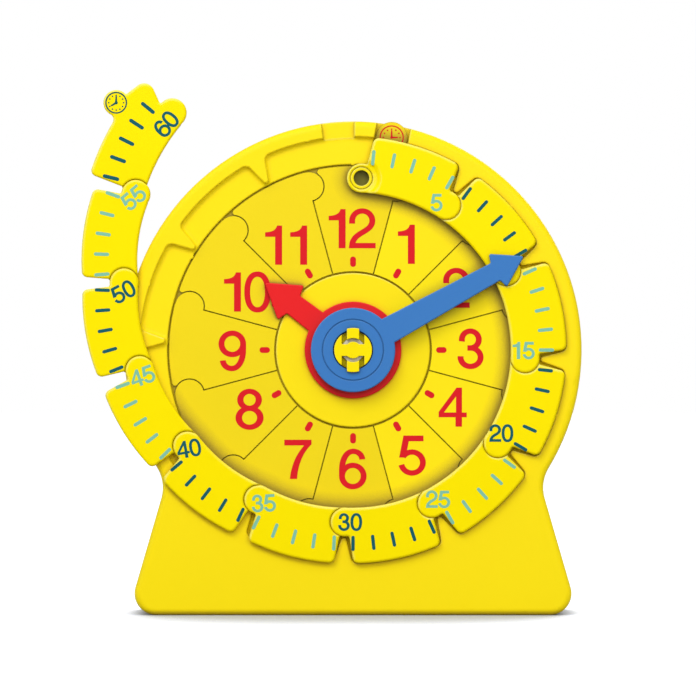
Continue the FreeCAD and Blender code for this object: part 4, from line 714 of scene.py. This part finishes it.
def clock_icon(radius, line, dot, long_hand, short_hand, short_angle):
    """A small clock: ring, twelve dots and two hands, as plates about the origin."""
    half = line / 2
    plates = [(thin_plate("icon_ring", ring(0, 0, radius, radius, half, half)), Matrix.Identity(4))]
    spot = thin_plate("icon_dot", disc(dot, 12))
    for hour in range(HOURS):
        plates.append((spot, Matrix.Translation(polar(radius * ICON_DOTS, LINK_PITCH * hour))))
    root, tip = line * ICON_HAND_ROOT, line * ICON_HAND_TIP
    hands = [[(-root, 0), (root, 0), (tip, reach), (-tip, reach)] for reach in (long_hand, short_hand)]
    meshes = [thin_plate("icon_hub", disc(line * ICON_HUB, 20)), thin_plate("icon_long", [hands[0]]),
              thin_plate("icon_short", [hands[1]], turned(-short_angle))]
    plates.append((united("icon_hands", meshes), Matrix.Identity(4)))
    return plates


def placed(plates, matrix):
    """Plates moved by a matrix in front of their own."""
    return [(mesh, matrix @ own) for mesh, own in plates]


def link_ticks(tick):
    """The ticks of a link, on a circle about the dial axis."""
    ticks = []
    for step in range(1, MINUTES_PER_LINK + 1):
        angle = MINUTE_PITCH * step
        place = Matrix.Translation(polar(MINUTE_TICK_RADIUS, angle) + SUNK) @ turned(-angle)
        ticks.append((tick, place))
    return ticks


def last_link_ticks(tick):
    """The ticks of the last link, which follow its own, flatter curve."""
    centre = polar(LAST_CENTRE, LAST_CENTRE_ANGLE)
    ticks = []
    for step in range(1, MINUTES_PER_LINK + 1):
        angle = LAST_TICK_FIRST + LAST_TICK_STEP * (step - 1)
        lean = turned(-LAST_TICK_LEAN * step - LAST_TICK_TURN)
        place = Matrix.Translation(centre + polar(LAST_TICK_RADIUS, angle) + SUNK) @ lean
        ticks.append((tick, place))
    return ticks


def make_minute_prints():
    """The teal ticks and figures of the number line, and the last link's small clock."""
    tick = thin_plate("minute_tick", capsule(*MINUTE_TICK))
    long_tick = thin_plate("last_tick", capsule(*LAST_TICK))
    for number, placement in enumerate(link_placements()):
        minute = MINUTES_PER_LINK * (number + 1)
        name = f"minute_print_{minute:02d}"
        last = number == HOURS - 1
        at = placement.inverted() @ UPRIGHT @ on_dial(*MINUTE_CENTRES[minute])
        height = LAST_FIGURE if last else MINUTE_FIGURE
        tilt = LINK_PITCH * number + (LAST_FIGURE_TURN if last else 0)
        parts = figure_parts(BOLD_FIGURES, str(minute), height, MINUTE_ADVANCE, at, tilt)
        parts += last_link_ticks(long_tick) if last else link_ticks(tick)
        film = LIGHT_INK if number % 2 == 0 else DARK_INK
        surface = placement @ Matrix.Translation(Vector((0, 0, LINK_TOP)))
        mesh = merged(name, parts)
        mesh.transform(surface)
        piece(name, mesh, film, f"link_{minute:02d}")
    make_pull_tab_print(surface)


def make_pull_tab_print(surface):
    """The teal clock on the pull tab of the last link."""
    icon = clock_icon(radius=7.1, line=1.0, dot=0.55, long_hand=4.6, short_hand=4.2, short_angle=238)
    place = Matrix.Translation(polar(*PULL_TAB) + SUNK) @ turned(PULL_TAB_TURN)
    mesh = merged("tab_print_60", placed(icon, place))
    mesh.transform(surface)
    piece("tab_print_60", mesh, ICON_INK, "link_60")


def make_tile_tab_print():
    """The red clock on the pull tab of the hour tiles."""
    icon = clock_icon(radius=8.0, line=0.8, dot=0.55, long_hand=5.0, short_hand=4.4, short_angle=90)
    mesh = merged("tab_print_12", placed(icon, Matrix.Translation(polar(*TILE_TAB) + SUNK)))
    mesh.transform(TILE_SURFACE)
    piece("tab_print_12", mesh, RED_INK, "housing")


make_hour_prints()
make_minute_prints()
make_tile_tab_print()


# ---------------------------------------------------------------- floor, light, camera
# Metres and watts. The floor has two painted shadows, where its glow dims near the clock: one all round the
# clock and a longer one before it.

FLOOR_HALF = 8
FLOOR_GLOW = 0.8
PAPER_TONE = (0.53, 0.56, 0.66, 1)
PAPER_BOUNCE = 0.3
SHADOW_REACH = 0.035
SHADOW_SHARES = (0.45, 0.75)
SHADOW_GLOW = 0.3
FRONT_REACH = 0.13
FRONT_SHARES = (0.42, 0.85)
TOWARDS_CLOCK = (0, 0.95, 0.3)
SKY_LIGHT = 0.6
SKY_SEEN = 1.0
AIM = (0, 0, 0.18)
LAMPS = {
    "key": {"at": (-0.6, -1.45, 1.4), "width": 0.8, "height": 0.8, "power": 13},
    "front": {"at": (0.3, -1.7, 0.8), "width": 1.4, "height": 1.2, "power": 14},
    "rear": {"at": (0.9, 1.7, 1.3), "width": 1.2, "height": 1.2, "power": 14},
}
CAMERA_DISTANCE = 2.6
VIEW_X = -0.0035
VIEW_Z = 0.1857
SENSOR_WIDTH = 36
VIEW_END = 50


def seen_share(nodes, links):
    """A value that is one for rays from the camera, in gloss and through glass."""
    path = nodes.new("ShaderNodeLightPath")
    total = path.outputs["Is Camera Ray"]
    for kind in ("Is Glossy Ray", "Is Transmission Ray"):
        total = combined(nodes, links, "MAXIMUM", total, path.outputs[kind])
    return total


def white_paper(name):
    """Paper that is seen white but for the object's shadow, partly real and partly painted by dimming its
    glow near the clock, and that throws back little light.
    """
    material, nodes, links = new_material(name)
    nodes.remove(nodes["Principled BSDF"])
    seen = seen_share(nodes, links)
    dull = nodes.new("ShaderNodeBsdfDiffuse")
    dull.inputs["Color"].default_value = (PAPER_BOUNCE, PAPER_BOUNCE, PAPER_BOUNCE, 1)
    lit = nodes.new("ShaderNodeBsdfDiffuse")
    lit.inputs["Color"].default_value = PAPER_TONE
    glow = nodes.new("ShaderNodeEmission")
    # The glow dims where the floor is less open to the sky: painted shadow all round the clock and, leaning
    # towards the clock, a longer one in front.
    near = nodes.new("ShaderNodeAmbientOcclusion")
    near.inputs["Distance"].default_value = SHADOW_REACH
    before = nodes.new("ShaderNodeAmbientOcclusion")
    before.inputs["Distance"].default_value = FRONT_REACH
    lean = nodes.new("ShaderNodeCombineXYZ")
    for axis, value in zip("XYZ", TOWARDS_CLOCK):
        lean.inputs[axis].default_value = value
    all_round = remap(nodes, *SHADOW_SHARES, SHADOW_GLOW, FLOOR_GLOW)
    in_front = remap(nodes, *FRONT_SHARES)
    both = nodes.new("ShaderNodeAddShader")
    mix = nodes.new("ShaderNodeMixShader")
    links.new(near.outputs["AO"], all_round.inputs["Value"])
    links.new(lean.outputs[0], before.inputs["Normal"])
    links.new(before.outputs["AO"], in_front.inputs["Value"])
    strength = combined(nodes, links, "MULTIPLY", all_round.outputs["Result"], in_front.outputs["Result"])
    links.new(strength, glow.inputs["Strength"])
    links.new(lit.outputs[0], both.inputs[0])
    links.new(glow.outputs[0], both.inputs[1])
    links.new(seen, mix.inputs[0])
    links.new(dull.outputs[0], mix.inputs[1])
    links.new(both.outputs[0], mix.inputs[2])
    links.new(mix.outputs[0], nodes["Material Output"].inputs["Surface"])
    return material


def make_floor():
    """White floor, wide enough for a view from any side."""
    far = FLOOR_HALF
    mesh = bpy.data.meshes.new("floor")
    mesh.from_pydata([(-far, -far, 0), (far, -far, 0), (far, far, 0), (-far, far, 0)], [], [(0, 1, 2, 3)])
    mesh.materials.append(white_paper("studio_paper"))
    thing = bpy.data.objects.new("floor", mesh)
    bpy.context.scene.collection.objects.link(thing)


def make_world():
    """An even pale sky, white where it is seen."""
    world = bpy.data.worlds.new("studio")
    bpy.context.scene.world = world
    world.use_nodes = True
    nodes, links = world.node_tree.nodes, world.node_tree.links
    sky = nodes["Background"]
    sky.inputs["Color"].default_value = (1, 1, 1, 1)
    path = nodes.new("ShaderNodeLightPath")
    strength = remap(nodes, 0, 1, SKY_LIGHT, SKY_SEEN)
    links.new(path.outputs["Is Camera Ray"], strength.inputs["Value"])
    links.new(strength.outputs["Result"], sky.inputs["Strength"])


def area_light(name, at, width, height, power):
    """A soft rectangular lamp that is turned to the clock."""
    lamp = bpy.data.lights.new(name, "AREA")
    lamp.shape = "RECTANGLE"
    lamp.size = width
    lamp.size_y = height
    lamp.energy = power
    thing = bpy.data.objects.new(name, lamp)
    bpy.context.scene.collection.objects.link(thing)
    thing.location = at
    thing.rotation_euler = (Vector(AIM) - Vector(at)).to_track_quat("-Z", "Y").to_euler()


def make_camera():
    """A level camera in front of the dial, framed as the photograph."""
    width = PHOTO_WIDTH * PIXEL * MM
    camera = bpy.data.cameras.new("camera")
    camera.sensor_width = SENSOR_WIDTH
    camera.lens = SENSOR_WIDTH * CAMERA_DISTANCE / width
    camera.clip_end = VIEW_END
    thing = bpy.data.objects.new("camera", camera)
    bpy.context.scene.collection.objects.link(thing)
    thing.location = (VIEW_X, -RIM_Y * MM - CAMERA_DISTANCE, VIEW_Z)
    thing.rotation_euler = (math.radians(QUARTER_TURN), 0, 0)
    bpy.context.scene.camera = thing


make_floor()
make_world()
for lamp_name, lamp_values in LAMPS.items():
    area_light(lamp_name, **lamp_values)
make_camera()
bpy.context.scene.view_settings.view_transform = "Standard"
